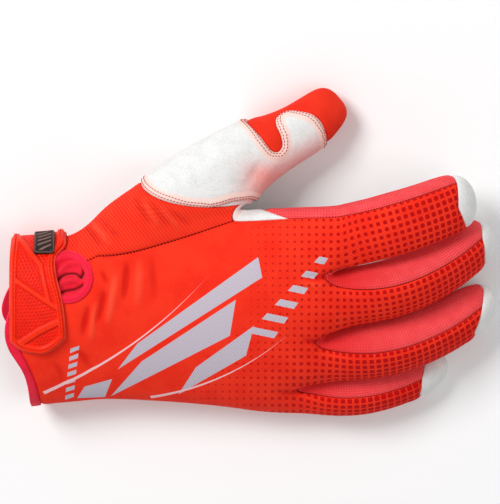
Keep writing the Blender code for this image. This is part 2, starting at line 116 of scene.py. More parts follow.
# Badge and vent: the binding covers the hem of the hole
BADGE_START = 0.0108
BADGE_WIDTH = 0.0096
BADGE_SINK, BADGE_BODY = 0.0002, 0.0001
BADGE_FIRST_ANGLE = -4
BADGE_LAST_ANGLE = 40
VENT_X = 0.0262
VENT_HEIGHT = 0.0126
VENT_INNER = 0.0086
VENT_OUTER = 0.0116
VENT_HEM = 0.0004
VENT_SIDES = 120

# A ring of control points shrinks when it is smoothed, and these swell it back
SWELL_FINGER = 1.09
SWELL_THUMB = 1.04

# Rings of the hand, from the hem to the webs, as in the solids
HAND_COLUMNS = "along side width depth edge roll bend seam skew bow scallop".split()
HAND_ROWS = (
    (0.033, -0.040, 0.755, 1.16, 0.36, 8, 58, 0.90, 0.028, 0.090, 0.0),
    (0.090, -0.037, 0.755, 1.16, 0.36, 8, 58, 0.84, 0.026, 0.080, 0.0),
    (0.180, -0.022, 0.770, 1.16, 0.36, 8, 58, 0.70, 0.018, 0.045, 0.0),
    (0.275, 0.004, 0.785, 1.16, 0.38, 8, 56, 0.60, 0.008, 0.012, 0.0),
    (0.380, 0.013, 0.805, 1.16, 0.42, 9, 54, 0.66, 0.0, 0.0, 0.0),
    (0.495, 0.012, 0.820, 1.14, 0.46, 10, 50, 0.79, 0.0, 0.0, 0.0),
    (0.610, 0.016, 0.860, 1.12, 0.50, 12, 48, 0.90, 0.0, 0.0, 0.0),
    (0.730, 0.020, 0.915, 1.08, 0.54, 14, 46, 1.00, 0.0, 0.0, 0.0),
    (0.860, 0.020, 0.985, 1.00, 0.58, 16, 48, 1.00, -0.03, -0.02, 0.02),
    (1.000, 0.015, 1.025, 0.86, 0.62, 18, 50, 1.00, -0.08, -0.025, 0.08),
)
HAND_STEPS = (0.0, 0.122, 0.25, 0.393, 0.54, 0.67, 0.80, 0.90, 1.0)
BOW_CENTRE = -0.05
BOW_REACH = 0.62
THUMB_FIRST_ROW = 3
THUMB_LAST_ROW = 7

FINGER_COLUMNS = "name length width depth heading rise roll curl".split()
FINGERS = (
    ("index", INDEX_LENGTH, 0.97, 0.88, 13.4, 9, 2, 42),
    ("middle", MIDDLE_LENGTH, 0.90, 1.03, 3.8, 3.2, 35, 46),
    ("ring", RING_LENGTH, 0.90, 1.06, -2.5, 6, 44, 46),
    ("little", LITTLE_LENGTH, 0.76, 0.96, -8.7, 7.5, 50, 42),
)
STATION_COLUMNS = "along curl twist width depth edge".split()
FINGER_STATIONS = (
    (0.12, 0.06, 0.40, 0.96, 0.96, 0.66),
    (0.27, 0.22, 0.85, 0.95, 0.97, 0.72),
    (0.43, 0.46, 1.00, 0.97, 1.00, 0.72),
    (0.60, 0.70, 1.00, 0.94, 0.96, 0.72),
    (0.76, 0.88, 1.00, 0.93, 0.95, 0.70),
    (0.90, 0.98, 1.00, 0.88, 0.88, 0.62),
    (0.985, 1.00, 1.00, 0.58, 0.56, 0.60),
)
TIP_FORWARD = 0.16

THUMB_COLUMNS = "along heading rise slant width depth edge bow".split()
THUMB_STATIONS = (
    (0.250, 50, -8, 29, 1.38, 1.10, 0.55, 0.06),
    (0.345, 33, -10, 16, 1.16, 1.04, 0.55, 0.03),
    (0.465, 35, -16, 9, 0.99, 0.98, 0.55, 0.0),
    (0.583, 27, -14, 11, 0.87, 0.90, 0.55, 0.0),
    (0.715, 20, -12, 6, 0.71, 0.84, 0.55, 0.0),
    (0.845, 31, -6, 0, 0.72, 0.78, 0.52, 0.0),
    (0.985, 40, -4, 0, 0.58, 0.52, 0.52, 0.0),
)

PANELS = (
    "back_panel",
    "palm_panel",
    "cuff_binding",
    "index_side_gusset",
    "index_middle_gusset",
    "middle_ring_gusset",
    "ring_little_gusset",
    "thumb_base_panel",
    "thumb_overlay",
    "thumb_tip",
)
BACK, PALM, CUFF, THUMB_BASE, OVERLAY, THUMB_TIP = 0, 1, 2, 7, 8, 9
GUSSETS = (3, 4, 5, 6)
CUT_AWAY = -1

# Levels of subdivision, fine rows to one row of the cage, and the step between parts in the grid
LEVELS = 4
FINE_ROWS = 2**LEVELS
PART_STEP = 100
HAND_PART, THUMB_PART = 0, 5


def rows_of(columns, table):
    """A table's rows as dicts by column name."""
    return [dict(zip(columns, row)) for row in table]


# The cage of sections


def section(centre, across, up, width, depth, edge, bend, steps, side=0.05, scallop=0.0, seam=1.0):
    """A closed ring of points: over the back from the across side, round, and back under the palm."""
    columns = len(steps)
    back_half = [seam - (1 + seam) * step for step in steps]
    palm_half = [1 - 2 * step for step in steps]
    total = math.radians(bend)

    def place(w, h):
        if abs(total) < 1e-6:
            return centre + across * (w * width / 2) + up * h
        radius = width / total
        angle = total * w / 2
        outward = up * math.cos(angle) + across * math.sin(angle)
        return centre + outward * (radius + h) - up * radius

    def height(w, k):
        bulge = edge + (1 - edge) * math.sqrt(max(0.0, 1 - w * w))
        ripple = scallop * (1 if k % 2 else -1) if 0 < k < columns - 1 else 0.0
        return depth / 2 * (bulge + ripple)

    back = [place(w, height(w, k)) for k, w in enumerate(back_half)]
    palm = [place(w, -height(w, k)) for k, w in enumerate(palm_half)]
    palm.reverse()
    return back + [place(-1 - side, 0.0)] + palm + [place(1 + side, 0.0)]


def turned(vector, axis, degrees):
    """The vector turned about an axis."""
    angle = math.radians(degrees)
    axis = axis.normalized()
    return (
        vector * math.cos(angle)
        + axis.cross(vector) * math.sin(angle)
        + axis * (axis.dot(vector) * (1 - math.cos(angle)))
    )


def heading_vector(heading, rise):
    """A unit vector from its heading in plan and its rise, both in degrees."""
    a, e = math.radians(heading), math.radians(rise)
    return Vector((math.cos(a) * math.cos(e), math.sin(a) * math.cos(e), math.sin(e)))


class Cage:
    """The coarse cage of the whole glove. Each face knows its panel and its place in its part's grid.

    A corner's place is its column round the ring and its row along the part, plus a step for the part.
    """

    def __init__(self):
        self.mesh = bmesh.new()
        self.grid = self.mesh.loops.layers.uv.new("grid")

    def ring(self, points):
        return [self.mesh.verts.new(p) for p in points]

    def quad(self, corners, places, panel):
        face = self.mesh.faces.new(corners)
        face.material_index = PANELS.index(panel)
        for loop, place in zip(face.loops, places):
            loop[self.grid].uv = place

    def band(self, near, far, row, panel_of, skip=()):
        """Quads between two rings of one length; panel_of(column) names each quad's panel."""
        count = len(near)
        for k in range(count):
            if k not in skip:
                n = (k + 1) % count
                places = ((k, row), (k + 1, row), (k + 1, row + 1), (k, row + 1))
                self.quad((near[k], near[n], far[n], far[k]), places, panel_of(k))

    def cap(self, ring, forward, row, back_panel, palm_panel):
        """Closes a ring with a grid two quads deep, its middle pushed forward."""
        columns = len(ring) // 2 - 1
        last = 2 * columns
        back = ring[:columns]
        palm = list(reversed(ring[columns + 1 : last + 1]))
        inner = []
        for k in range(1, columns - 1):
            middle = (back[k].co + palm[k].co) / 2 + forward
            inner.append(self.mesh.verts.new(middle))
        centre = [ring[-1]] + inner + [ring[columns]]
        for k in range(columns - 1):
            n = k + 1
            places = ((k, row), (n, row), (n, row + 1), (k, row + 1))
            self.quad((back[k], back[n], centre[n], centre[k]), places, back_panel)
            places = ((last - k, row + 1), (last - n, row + 1), (last - n, row), (last - k, row))
            self.quad((centre[k], centre[n], palm[n], palm[k]), places, palm_panel)


def hand_ring(row):
    """One ring of the hand: 9 points over the back, one at each side and 9 under the palm."""
    roll = math.radians(row["roll"])
    up = Vector((0, -math.sin(roll), math.cos(roll)))
    across = Vector((0, math.cos(roll), math.sin(roll)))
    centre = Vector((row["along"] * HAND_LENGTH, row["side"] * HAND_WIDTH, 0.0))
    width, depth = row["width"] * HAND_WIDTH, row["depth"] * HAND_DEPTH
    shape = (width, depth, row["edge"], row["bend"], HAND_STEPS)
    ring = section(centre, across, up, *shape, scallop=row["scallop"], seam=row["seam"])
    for point in ring:
        w = (point - centre).dot(across) / (width / 2)
        reach = min(1.0, abs(w - BOW_CENTRE) / BOW_REACH)
        bow = row["bow"] * math.cos(math.pi / 2 * reach) ** 2
        point.x -= HAND_LENGTH * (row["skew"] * w + bow)
    lowest = min(point.z for point in ring)
    for point in ring:
        point.z -= lowest
    return ring


def hand_panel(row, column):
    """The panel of a quad of the hand, by its row and its column round the ring."""
    if row == 0:
        return "cuff_binding"
    if column < 10:
        return "back_panel"
    if column < 18:
        return "palm_panel"
    return "thumb_base_panel" if row < THUMB_LAST_ROW else "index_side_gusset"


def build_hand(cage):
    """The hand's rings and faces. Returns the rings."""
    rings = [cage.ring(hand_ring(row)) for row in rows_of(HAND_COLUMNS, HAND_ROWS)]
    for r in range(len(rings) - 1):
        hole = (18, 19) if THUMB_FIRST_ROW <= r < THUMB_LAST_ROW else ()
        cage.band(rings[r], rings[r + 1], r, lambda k, r=r: hand_panel(r, k), hole)
    return rings


def finger_roots(cage, last):
    """Splits the hand's last ring into four rings of 8, which share the web points between them."""
    webs = [last[19]]
    for k in (2, 4, 6):
        middle = (last[k].co + last[18 - k].co) / 2
        webs.append(cage.mesh.verts.new(middle))
    webs.append(last[9])
    roots = []
    for f in range(4):
        a = 2 * f
        back = [last[a], last[a + 1], last[a + 2]]
        palm = [last[16 - a], last[17 - a], last[18 - a]]
        roots.append(back + [webs[f + 1]] + palm + [webs[f]])
    return roots


def finger_panel(finger, column):
    """The panel of a quad of a finger. The palm's panel wraps over the tip."""
    if column in (6, 7):
        return PANELS[GUSSETS[finger]]
    if column in (2, 3) and finger < 3:
        return PANELS[GUSSETS[finger + 1]]
    return "back_panel" if column < 4 else "palm_panel"


def build_finger(cage, finger, root):
    """One finger from its root ring to its closed tip."""
    row = rows_of(FINGER_COLUMNS, FINGERS)[finger]
    part = PART_STEP * (finger + 1)
    width = row["width"] * FINGER_WIDTH * SWELL_FINGER
    depth = row["depth"] * FINGER_DEPTH * SWELL_FINGER
    along = heading_vector(row["heading"], row["rise"])
    level = Vector((0, 0, 1)).cross(along).normalized()
    across = turned(level, along, row["roll"])
    up = along.cross(across)
    root_up = root[1].co - root[5].co
    root_up = (root_up - along * root_up.dot(along)).normalized()
    untwist = math.degrees(math.atan2(root_up.dot(across), root_up.dot(up)))
    centre = (root[1].co + root[5].co) / 2
    previous, at = root, 0.0
    direction = along
    for s, station in enumerate(rows_of(STATION_COLUMNS, FINGER_STATIONS)):
        curl = station["curl"] * row["curl"]
        step = (station["along"] - at) * row["length"]
        turned_direction = turned(along, across, curl)
        centre = centre + (direction + turned_direction).normalized() * step
        direction, at = turned_direction, station["along"]
        own_up = turned(up, across, curl)
        twist = -untwist * (1 - station["twist"])
        axes = (turned(across, direction, twist), turned(own_up, direction, twist))
        size = (station["width"] * width, station["depth"] * depth, station["edge"], 0)
        ring = cage.ring(section(centre, *axes, *size, (0.0, 0.5, 1.0), side=0.10))
        cage.band(previous, ring, part + s, lambda k: finger_panel(finger, k))
        previous = ring
    forward = direction * (TIP_FORWARD * depth)
    cage.cap(previous, forward, part + len(FINGER_STATIONS), "palm_panel", "palm_panel")


def thumb_root(rings):
    """The edge of the hole on the hand's side: its back, the web, its palm and the wrist's side."""
    rows = range(THUMB_FIRST_ROW, THUMB_LAST_ROW + 1)
    back = [rings[r][0] for r in rows]
    palm = [rings[r][18] for r in reversed(rows)]
    return back + [rings[THUMB_LAST_ROW][19]] + palm + [rings[THUMB_FIRST_ROW][19]]


def thumb_panel(station, column):
    """The panel of a quad of the thumb. Its overlay and tip are cut out later."""
    if station == 0:
        return "palm_panel" if 4 <= column < 10 else "thumb_base_panel"
    return "thumb_overlay"


def build_thumb(cage, root):
    """The thumb from the hole in the hand's side to its closed tip."""
    part = PART_STEP * THUMB_PART
    width, depth = THUMB_WIDTH * SWELL_THUMB, THUMB_DEPTH * SWELL_THUMB
    centre = sum((v.co for v in root), Vector()) / len(root)
    previous, at = root, 0.0
    for s, row in enumerate(rows_of(THUMB_COLUMNS, THUMB_STATIONS)):
        direction = heading_vector(row["heading"], row["rise"])
        centre = centre + direction * ((row["along"] - at) * THUMB_LENGTH)
        at = row["along"]
        inward = heading_vector(row["heading"] - 90 + row["slant"], 0)
        up = inward.cross(direction).normalized()
        across = -inward
        own_width = row["width"] * width
        size = (own_width, row["depth"] * depth, row["edge"], 0)
        ring = section(centre, across, up, *size, (0.0, 0.25, 0.5, 0.75, 1.0), side=0.06)
        for point in ring:
            w = (point - centre).dot(across) / (own_width / 2)
            point -= direction * (row["bow"] * THUMB_LENGTH * max(0.0, 1 - w * w))
        ring = cage.ring(ring)
        cage.band(previous, ring, part + s, lambda k, s=s: thumb_panel(s, k))
        previous = ring
    forward = direction * (TIP_FORWARD * depth)
    cage.cap(previous, forward, part + len(THUMB_STATIONS), "thumb_overlay", "thumb_overlay")


def glove_cage():
    """The whole cage as a bmesh."""
    cage = Cage()
    rings = build_hand(cage)
    for finger, root in enumerate(finger_roots(cage, rings[-1])):
        build_finger(cage, finger, root)
    build_thumb(cage, thumb_root(rings))
    bmesh.ops.recalc_face_normals(cage.mesh, faces=cage.mesh.faces)
    return cage.mesh


def smoothed(cage, levels):
    """The cage after subdivision, as a mesh."""
    mesh = bpy.data.meshes.new("guide")
    cage.to_mesh(mesh)
    for _ in PANELS:
        mesh.materials.append(None)
    guide = bpy.data.objects.new("guide", mesh)
    bpy.context.scene.collection.objects.link(guide)
    subdivide = guide.modifiers.new("smooth", "SUBSURF")
    subdivide.levels = levels
    subdivide.render_levels = levels
    subdivide.uv_smooth = "NONE"
    graph = bpy.context.evaluated_depsgraph_get()
    result = bpy.data.meshes.new_from_object(guide.evaluated_get(graph))
    bpy.data.objects.remove(guide)
    return result


# The skin as arrays


def read(items, name, width, kind=np.float32):
    """One property of a mesh's items as an array with that many columns."""
    values = np.empty(len(items) * width, kind)
    items.foreach_get(name, values)
    return values.reshape(-1, width) if width > 1 else values


def unit(vectors):
    """The vectors at length one."""
    return vectors / np.maximum(np.linalg.norm(vectors, axis=-1, keepdims=True), 1e-12)


def smooth_step(values, low, high):
    """0 up to low, 1 from high on, and a smooth rise between them."""
    t = np.clip((values - low) / (high - low), 0, 1)
    return t * t * (3 - 2 * t)


def hump(values, middle, reach):
    """1 at the middle, falling smoothly to 0 on both sides."""
    return np.exp(-(((values - middle) / reach) ** 2))


def face_normals(points, faces):
    a, b, c, d = (points[faces[:, i]] for i in range(4))
    return np.cross(c - a, d - b + (faces[:, 2:3] == faces[:, 3:4]) * (c - d))


def point_normals(points, faces):
    """Normals of the points, from the faces round them. A triangle repeats its last corner."""
    face = face_normals(points, faces)
    total = np.zeros_like(points)
    for corner in range(4):
        np.add.at(total, faces[:, corner], face)
    return unit(total)


def edges_of(faces):
    """Each face's edges in its own direction, without those of no length."""
    ends = np.concatenate([faces[:, [i, (i + 1) % 4]] for i in range(4)])
    return ends[ends[:, 0] != ends[:, 1]]


def border_edges(faces):
    """The edges that only one of the faces has, in that face's direction."""
    ends = edges_of(faces)
    top = int(faces.max()) + 1
    forward = ends[:, 0].astype(np.int64) * top + ends[:, 1]
    backward = ends[:, 1].astype(np.int64) * top + ends[:, 0]
    return ends[~np.isin(forward, backward)]


def loops_of(ends):
    """Border edges joined end to end, as lists of points. Open lines come first."""
    following = {int(a): int(b) for a, b in ends}
    starts = sorted(set(following) - set(following.values()))
    loops = []
    while following:
        start = starts.pop(0) if starts else min(following)
        loop = [start]
        at = following.pop(start)
        while at != start and at in following:
            loop.append(at)
            at = following.pop(at)
        if at != start:
            loop.append(at)
        loops.append(loop)
    return loops


def shared_line(faces, others):
    """The lines along which two sets of faces meet, as lists of points."""
    ends, reverse = border_edges(faces), border_edges(others)[:, ::-1]
    top = int(max(faces.max(), others.max())) + 1
    met = np.isin(ends[:, 0] * np.int64(top) + ends[:, 1], reverse[:, 0] * np.int64(top) + reverse[:, 1])
    return loops_of(ends[met])


def nearest_distance(points, marks):
    """How far each point is from the nearest mark."""
    tree = KDTree(len(marks))
    for i, mark in enumerate(marks):
        tree.insert(mark, i)
    tree.balance()
    return np.array([tree.find(p)[2] for p in points])


def plan_of(points):
    """Where points are seen in the photograph's direction: metres to the right and up."""
    return np.stack([points[:, 0], points[:, 1] * VIEW_COS - points[:, 2] * VIEW_SIN], axis=1)


def towards_camera(normals):
    """How far normals face the camera, from -1 to 1."""
    return normals[:, 1] * VIEW_SIN + normals[:, 2] * VIEW_COS


def pixels_of(points):
    """The photograph's pixels in which points are seen."""
    plan = plan_of(points)
    x = (plan[:, 0] - IMAGE_X) / PIXEL + IMAGE_WIDTH / 2
    y = IMAGE_HEIGHT / 2 - (plan[:, 1] - IMAGE_HEIGHT_OFFSET) / PIXEL
    return np.stack([x, y], axis=1)


def plan_at(x, y):
    """The place in metres, to the right and up, of a pixel of the photograph."""
    return (
        (x - IMAGE_WIDTH / 2) * PIXEL + IMAGE_X,
        (IMAGE_HEIGHT / 2 - y) * PIXEL + IMAGE_HEIGHT_OFFSET,
    )


def outline_side(points, outline):
    """Signed distance of points to a closed outline in a plane, above 0 inside it."""
    a = np.array(outline, float)
    b = np.roll(a, -1, axis=0)
    best = np.full(len(points), np.inf)
    inside = np.zeros(len(points), bool)
    for p, q in zip(a, b):
        run = q - p
        t = np.clip(((points - p) @ run) / max(run @ run, 1e-15), 0, 1)
        best = np.minimum(best, np.linalg.norm(points - p - t[:, None] * run, axis=1))
        crosses = (p[1] > points[:, 1]) != (q[1] > points[:, 1])
        rise = q[1] - p[1] if abs(q[1] - p[1]) > 1e-12 else 1e-12
        at = p[0] + (points[:, 1] - p[1]) / rise * run[0]
        inside ^= crosses & (points[:, 0] < at)
    return np.where(inside, best, -best)


def rounded(outline, steps=6, closed=True):
    """A smooth line through the points of an outline."""
    p = np.array(outline, float)
    n = len(p)
    line = []
    for i in range(n if closed else n - 1):
        if closed:
            a, b, c, d = p[i - 1], p[i], p[(i + 1) % n], p[(i + 2) % n]
        else:
            a, b, c, d = p[max(i - 1, 0)], p[i], p[i + 1], p[min(i + 2, n - 1)]
        for t in np.arange(steps) / steps:
            line.append(
                0.5 * (2 * b + (c - a) * t + (2 * a - 5 * b + 4 * c - d) * t**2
                       + (3 * b - a - 3 * c + d) * t**3)
            )
    if not closed:
        line.append(p[-1])
    return np.array(line)


class Skin:
    """The fine skin: points, faces, each face's panel, and each point's place in its part's grid."""

    def __init__(self, mesh):
        self.points = read(mesh.vertices, "co", 3).astype(float)
        self.faces = read(mesh.loops, "vertex_index", 1, np.int32).reshape(-1, 4)
        self.panel = read(mesh.polygons, "material_index", 1, np.int32)
        grid = read(mesh.uv_layers["grid"].data, "uv", 2).astype(float)
        part = np.floor(grid[:, 1] / PART_STEP + 1e-4)
        self.corner_grid = np.stack([grid[:, 0], grid[:, 1] - PART_STEP * part], axis=1)
        self.face_part = part.reshape(-1, 4)[:, 0].astype(int)
        self.face_column = self.corner_grid[:, 0].reshape(-1, 4).mean(axis=1)
        self.grid = np.zeros((len(self.points), 2))
        self.part = np.zeros(len(self.points), int)
        flat = self.faces.ravel()
        self.grid[flat] = self.corner_grid
        self.part[flat] = part.astype(int)

    def rest(self):
        """Presses the skin onto the surface it lies on, and moves it to the frame."""
        self.points[:, 2] = np.maximum(0.0, self.points[:, 2] - SINK)
        self.points += SHIFT

    def remember(self):
        """Keeps the uncut skin, from which the cloth is laid out later."""
        self.first_points = self.points.copy()
        self.first_corners = self.faces.ravel().copy()
        self.corner_part = np.repeat(self.face_part, 4)

    def first_table(self, part):
        """The uncut skin's points of a part, by fine row and fine column of its grid."""
        corners = self.corner_part == part
        column, row = np.rint(self.corner_grid[corners] * FINE_ROWS).astype(int).T
        table = np.full((row.max() + 1, column.max() + 1, 3), np.nan)
        table[row, column] = self.first_points[self.first_corners[corners]]
        return table

    def cut(self, side, chosen, panel):
        """Gives the chosen faces inside a line, where side is above 0, to a panel.

        The points nearest the line are moved onto it, so that the line becomes an edge.
        """
        faces = self.faces[chosen]
        ends = edges_of(faces)
        ends = np.unique(np.sort(ends, axis=1), axis=0)
        a, b = ends[:, 0], ends[:, 1]
        crossing = side[a] * side[b] < 0
        a, b = a[crossing], b[crossing]
        t = side[a] / (side[a] - side[b])
        nearer = np.where(t < 0.5, a, b)
        share = np.where(t < 0.5, t, 1 - t)
        other = np.where(t < 0.5, b, a)
        order = np.argsort(-share, kind="stable")
        nearer, share, other = nearer[order], share[order], other[order]
        start = self.points.copy(), self.grid.copy()
        for values, before in zip((self.points, self.grid), start):
            values[nearer] = before[nearer] + share[:, None] * (before[other] - before[nearer])
        side = side.copy()
        side[nearer] = 0.0
        signs = np.sign(side[self.faces])
        mixed = chosen & (signs.max(axis=1) > 0) & (signs.min(axis=1) < 0)
        first = mixed & (signs[:, 0] == 0) & (signs[:, 2] == 0)
        second = mixed & ~first
        new = []
        for split, corners in ((first, (0, 1, 2, 3)), (second, (1, 2, 3, 0))):
            p, q, r, s = (self.faces[split][:, i] for i in corners)
            marks = (self.panel[split], self.face_part[split], self.face_column[split])
            new.append((np.stack([p, q, r, r], axis=1), *marks))
            new.append((np.stack([p, r, s, s], axis=1), *marks))
        keep = ~mixed
        chosen_new = np.ones(sum(len(n[0]) for n in new), bool)
        self.faces = np.concatenate([self.faces[keep]] + [n[0] for n in new])
        self.panel = np.concatenate([self.panel[keep]] + [n[1] for n in new])
        self.face_part = np.concatenate([self.face_part[keep]] + [n[2] for n in new])
        self.face_column = np.concatenate([self.face_column[keep]] + [n[3] for n in new])
        chosen = np.concatenate([chosen[keep], chosen_new])
        total = side[self.faces].sum(axis=1)
        self.panel[chosen & (total > 0)] = panel

    def normals(self):
        return point_normals(self.points, self.faces)

    def seams(self):
        """The points at which panels meet."""
        low = np.full(len(self.points), 99)
        high = np.full(len(self.points), -9)
        for corner in range(4):
            np.minimum.at(low, self.faces[:, corner], self.panel)
            np.maximum.at(high, self.faces[:, corner], self.panel)
        return np.flatnonzero(high > low)


# Pieces


def object_of(name, points, faces, uvs=None, smooth=True):
    """A mesh object, with its UV layers given as one value a point."""
    mesh = bpy.data.meshes.new(name)
    mesh.from_pydata([tuple(p) for p in points.tolist()], [], faces)
    if smooth:
        mesh.polygons.foreach_set("use_smooth", np.ones(len(mesh.polygons), bool))
    corners = read(mesh.loops, "vertex_index", 1, np.int32)
    for layer, values in (uvs or {}).items():
        made = mesh.uv_layers.new(name=layer)
        made.data.foreach_set("uv", values[corners].astype(np.float32).ravel())
    mesh.update()
    made = bpy.data.objects.new(name, mesh)
    bpy.context.scene.collection.objects.link(made)
    return made


def face_list(faces):
    """Faces as tuples, a triangle with three corners."""
    return [tuple(f[:3]) if f[2] == f[3] else tuple(f) for f in faces.tolist()]


def layered(points, normals, faces, top, bottom, bulge=0.0, pull=0.0, steps=1):
    """Points and faces of a closed solid between two layers over a surface.

    pull draws the edge in, and bulge rounds the rim outward between the two layers.
    """
    ends = border_edges(faces)
    face_normal = unit(face_normals(points, faces))
    owner = {}
    for n, face in enumerate(faces.tolist()):
        for a, b in zip(face, face[1:] + face[:1]):
            owner[(a, b)] = n
    inward = np.zeros_like(points)
    for a, b in ends.tolist():
        side = np.cross(face_normal[owner[(a, b)]], points[b] - points[a])
        side /= max(np.linalg.norm(side), 1e-12)
        inward[a] += side
        inward[b] += side
    inward = unit(inward) * (np.linalg.norm(inward, axis=1, keepdims=True) > 1e-6)
    base = points + inward * pull
    high = base + normals * np.reshape(top, (-1, 1))
    low = base + normals * np.reshape(bottom, (-1, 1))
    layers = [high, low]
    count = len(points)
    edge = np.unique(ends)
    number = {int(v): n for n, v in enumerate(edge)}
    for step in range(1, steps):
        t = step / steps
        ring = high[edge] * (1 - t) + low[edge] * t - inward[edge] * bulge * math.sin(math.pi * t)
        layers.append(ring)

    def at(v, step):
        if step == 0:
            return v
        if step == steps:
            return v + count
        return 2 * count + (step - 1) * len(edge) + number[v]

    made = face_list(faces) + [tuple(reversed(f)) for f in face_list(faces + count)]
    for a, b in ends.tolist():
        for step in range(steps):
            made.append((at(b, step), at(a, step), at(a, step + 1), at(b, step + 1)))
    every = np.concatenate(layers)
    every[:, 2] = np.maximum(every[:, 2], 0.0)
    source = np.concatenate([np.arange(count), np.arange(count)] + [edge] * (steps - 1))
    return every, made, source


def grid_faces(rows, columns, cyclic=False):
    """Quads of a grid of points that is stored row by row. A cyclic grid closes each row on itself."""
    r, c = np.meshgrid(
        np.arange(rows - 1), np.arange(columns if cyclic else columns - 1), indexing="ij"
    )
    n = (c + 1) % columns
    a, b = r * columns, (r + 1) * columns
    return np.stack([a + c, a + n, b + n, b + c], axis=-1).reshape(-1, 4)


def finish_piece(piece, material, slot, *nodes):
    """Gives a piece its material and its place on the frame; slot is not used."""
    piece.data.materials.clear()
    piece.data.materials.append(material)
    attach(piece, "root")
    if nodes:
        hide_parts(*nodes)
    return piece


def turn_outward(piece):
    """Turns the faces of a closed mesh so that they all face out."""
    mesh = bmesh.new()
    mesh.from_mesh(piece.data)
    bmesh.ops.recalc_face_normals(mesh, faces=mesh.faces)
    mesh.to_mesh(piece.data)
    mesh.free()


def laid_piece(name, material, solid, tone=None, cloth=None):
    """A closed piece on the skin, which replaces the node of its name.

    The solid comes from layered(). tone and cloth have a row for each point that it was layered over.
    """
    points, faces, source = solid
    tone = np.zeros((len(points), 2)) if tone is None else tone[source]
    cloth = plan_of(points) / MM if cloth is None else cloth[source]
    piece = object_of(name, points, faces, {"cloth": cloth, "tone": tone})
    turn_outward(piece)
    return finish_piece(piece, material, name, name)


class Surface:
    """A skin that other pieces are laid on."""

    def __init__(self, points, faces):
        self.normals = point_normals(points, faces)
        self.points, self.faces = points, faces
        self.tree = BVHTree.FromPolygons(points.tolist(), face_list(faces))

    def normal_at(self, face, point):
        corners = self.faces[face]
        away = ((self.points[corners] - np.array(point)) ** 2).sum(axis=1) + 1e-9
        return unit((self.normals[corners] / away[:, None]).sum(axis=0))

    def hit(self, start, direction):
        """Where a ray meets the skin and the normal there. Past the hem it takes the hem's height."""
        beyond = 0.0
        point, _, face, _ = self.tree.ray_cast(start, direction)
        while face is None and beyond < HEM_REACH:
            beyond += HEM_STEP
            point, _, face, _ = self.tree.ray_cast(start + Vector((beyond, 0, 0)), direction)
        if face is None:
            raise ValueError(f"no skin below {tuple(start)}")
        return np.array(point) - (beyond, 0, 0), self.normal_at(face, point)

    def around_wrist(self, x, angle):
        """The skin at a place round the wrist's oval: 0 degrees at the thumb's side, 90 on the back."""
        turn = math.radians(angle)
        start = Vector((x, WRIST_CENTRE_Y, WRIST_CENTRE_Z)) + Vector(SHIFT) + Vector((0, 0, -SINK))
        y, z = WRIST_HALF_WIDTH * math.cos(turn), WRIST_HALF_DEPTH * math.sin(turn)
        return self.hit(start, Vector((0, y, z)).normalized())

    def seen(self, right, up):
        """The skin at a place as the photograph sees it."""
        start = Vector((right, 0, 0)) + PICTURE_UP * up + TO_CAMERA * RAY_START
        return self.hit(start, -TO_CAMERA)

    def nearest(self, point):
        found, _, face, _ = self.tree.find_nearest(Vector(point))
        return np.array(found), self.normal_at(face, found)


# Materials


def linear(red, green, blue):
    """A colour from its screen values, 0 to 255, in linear light."""
    return tuple(((c / 255 + 0.055) / 1.055) ** 2.4 if c > 10 else c / 3294.6 for c in (red, green, blue))


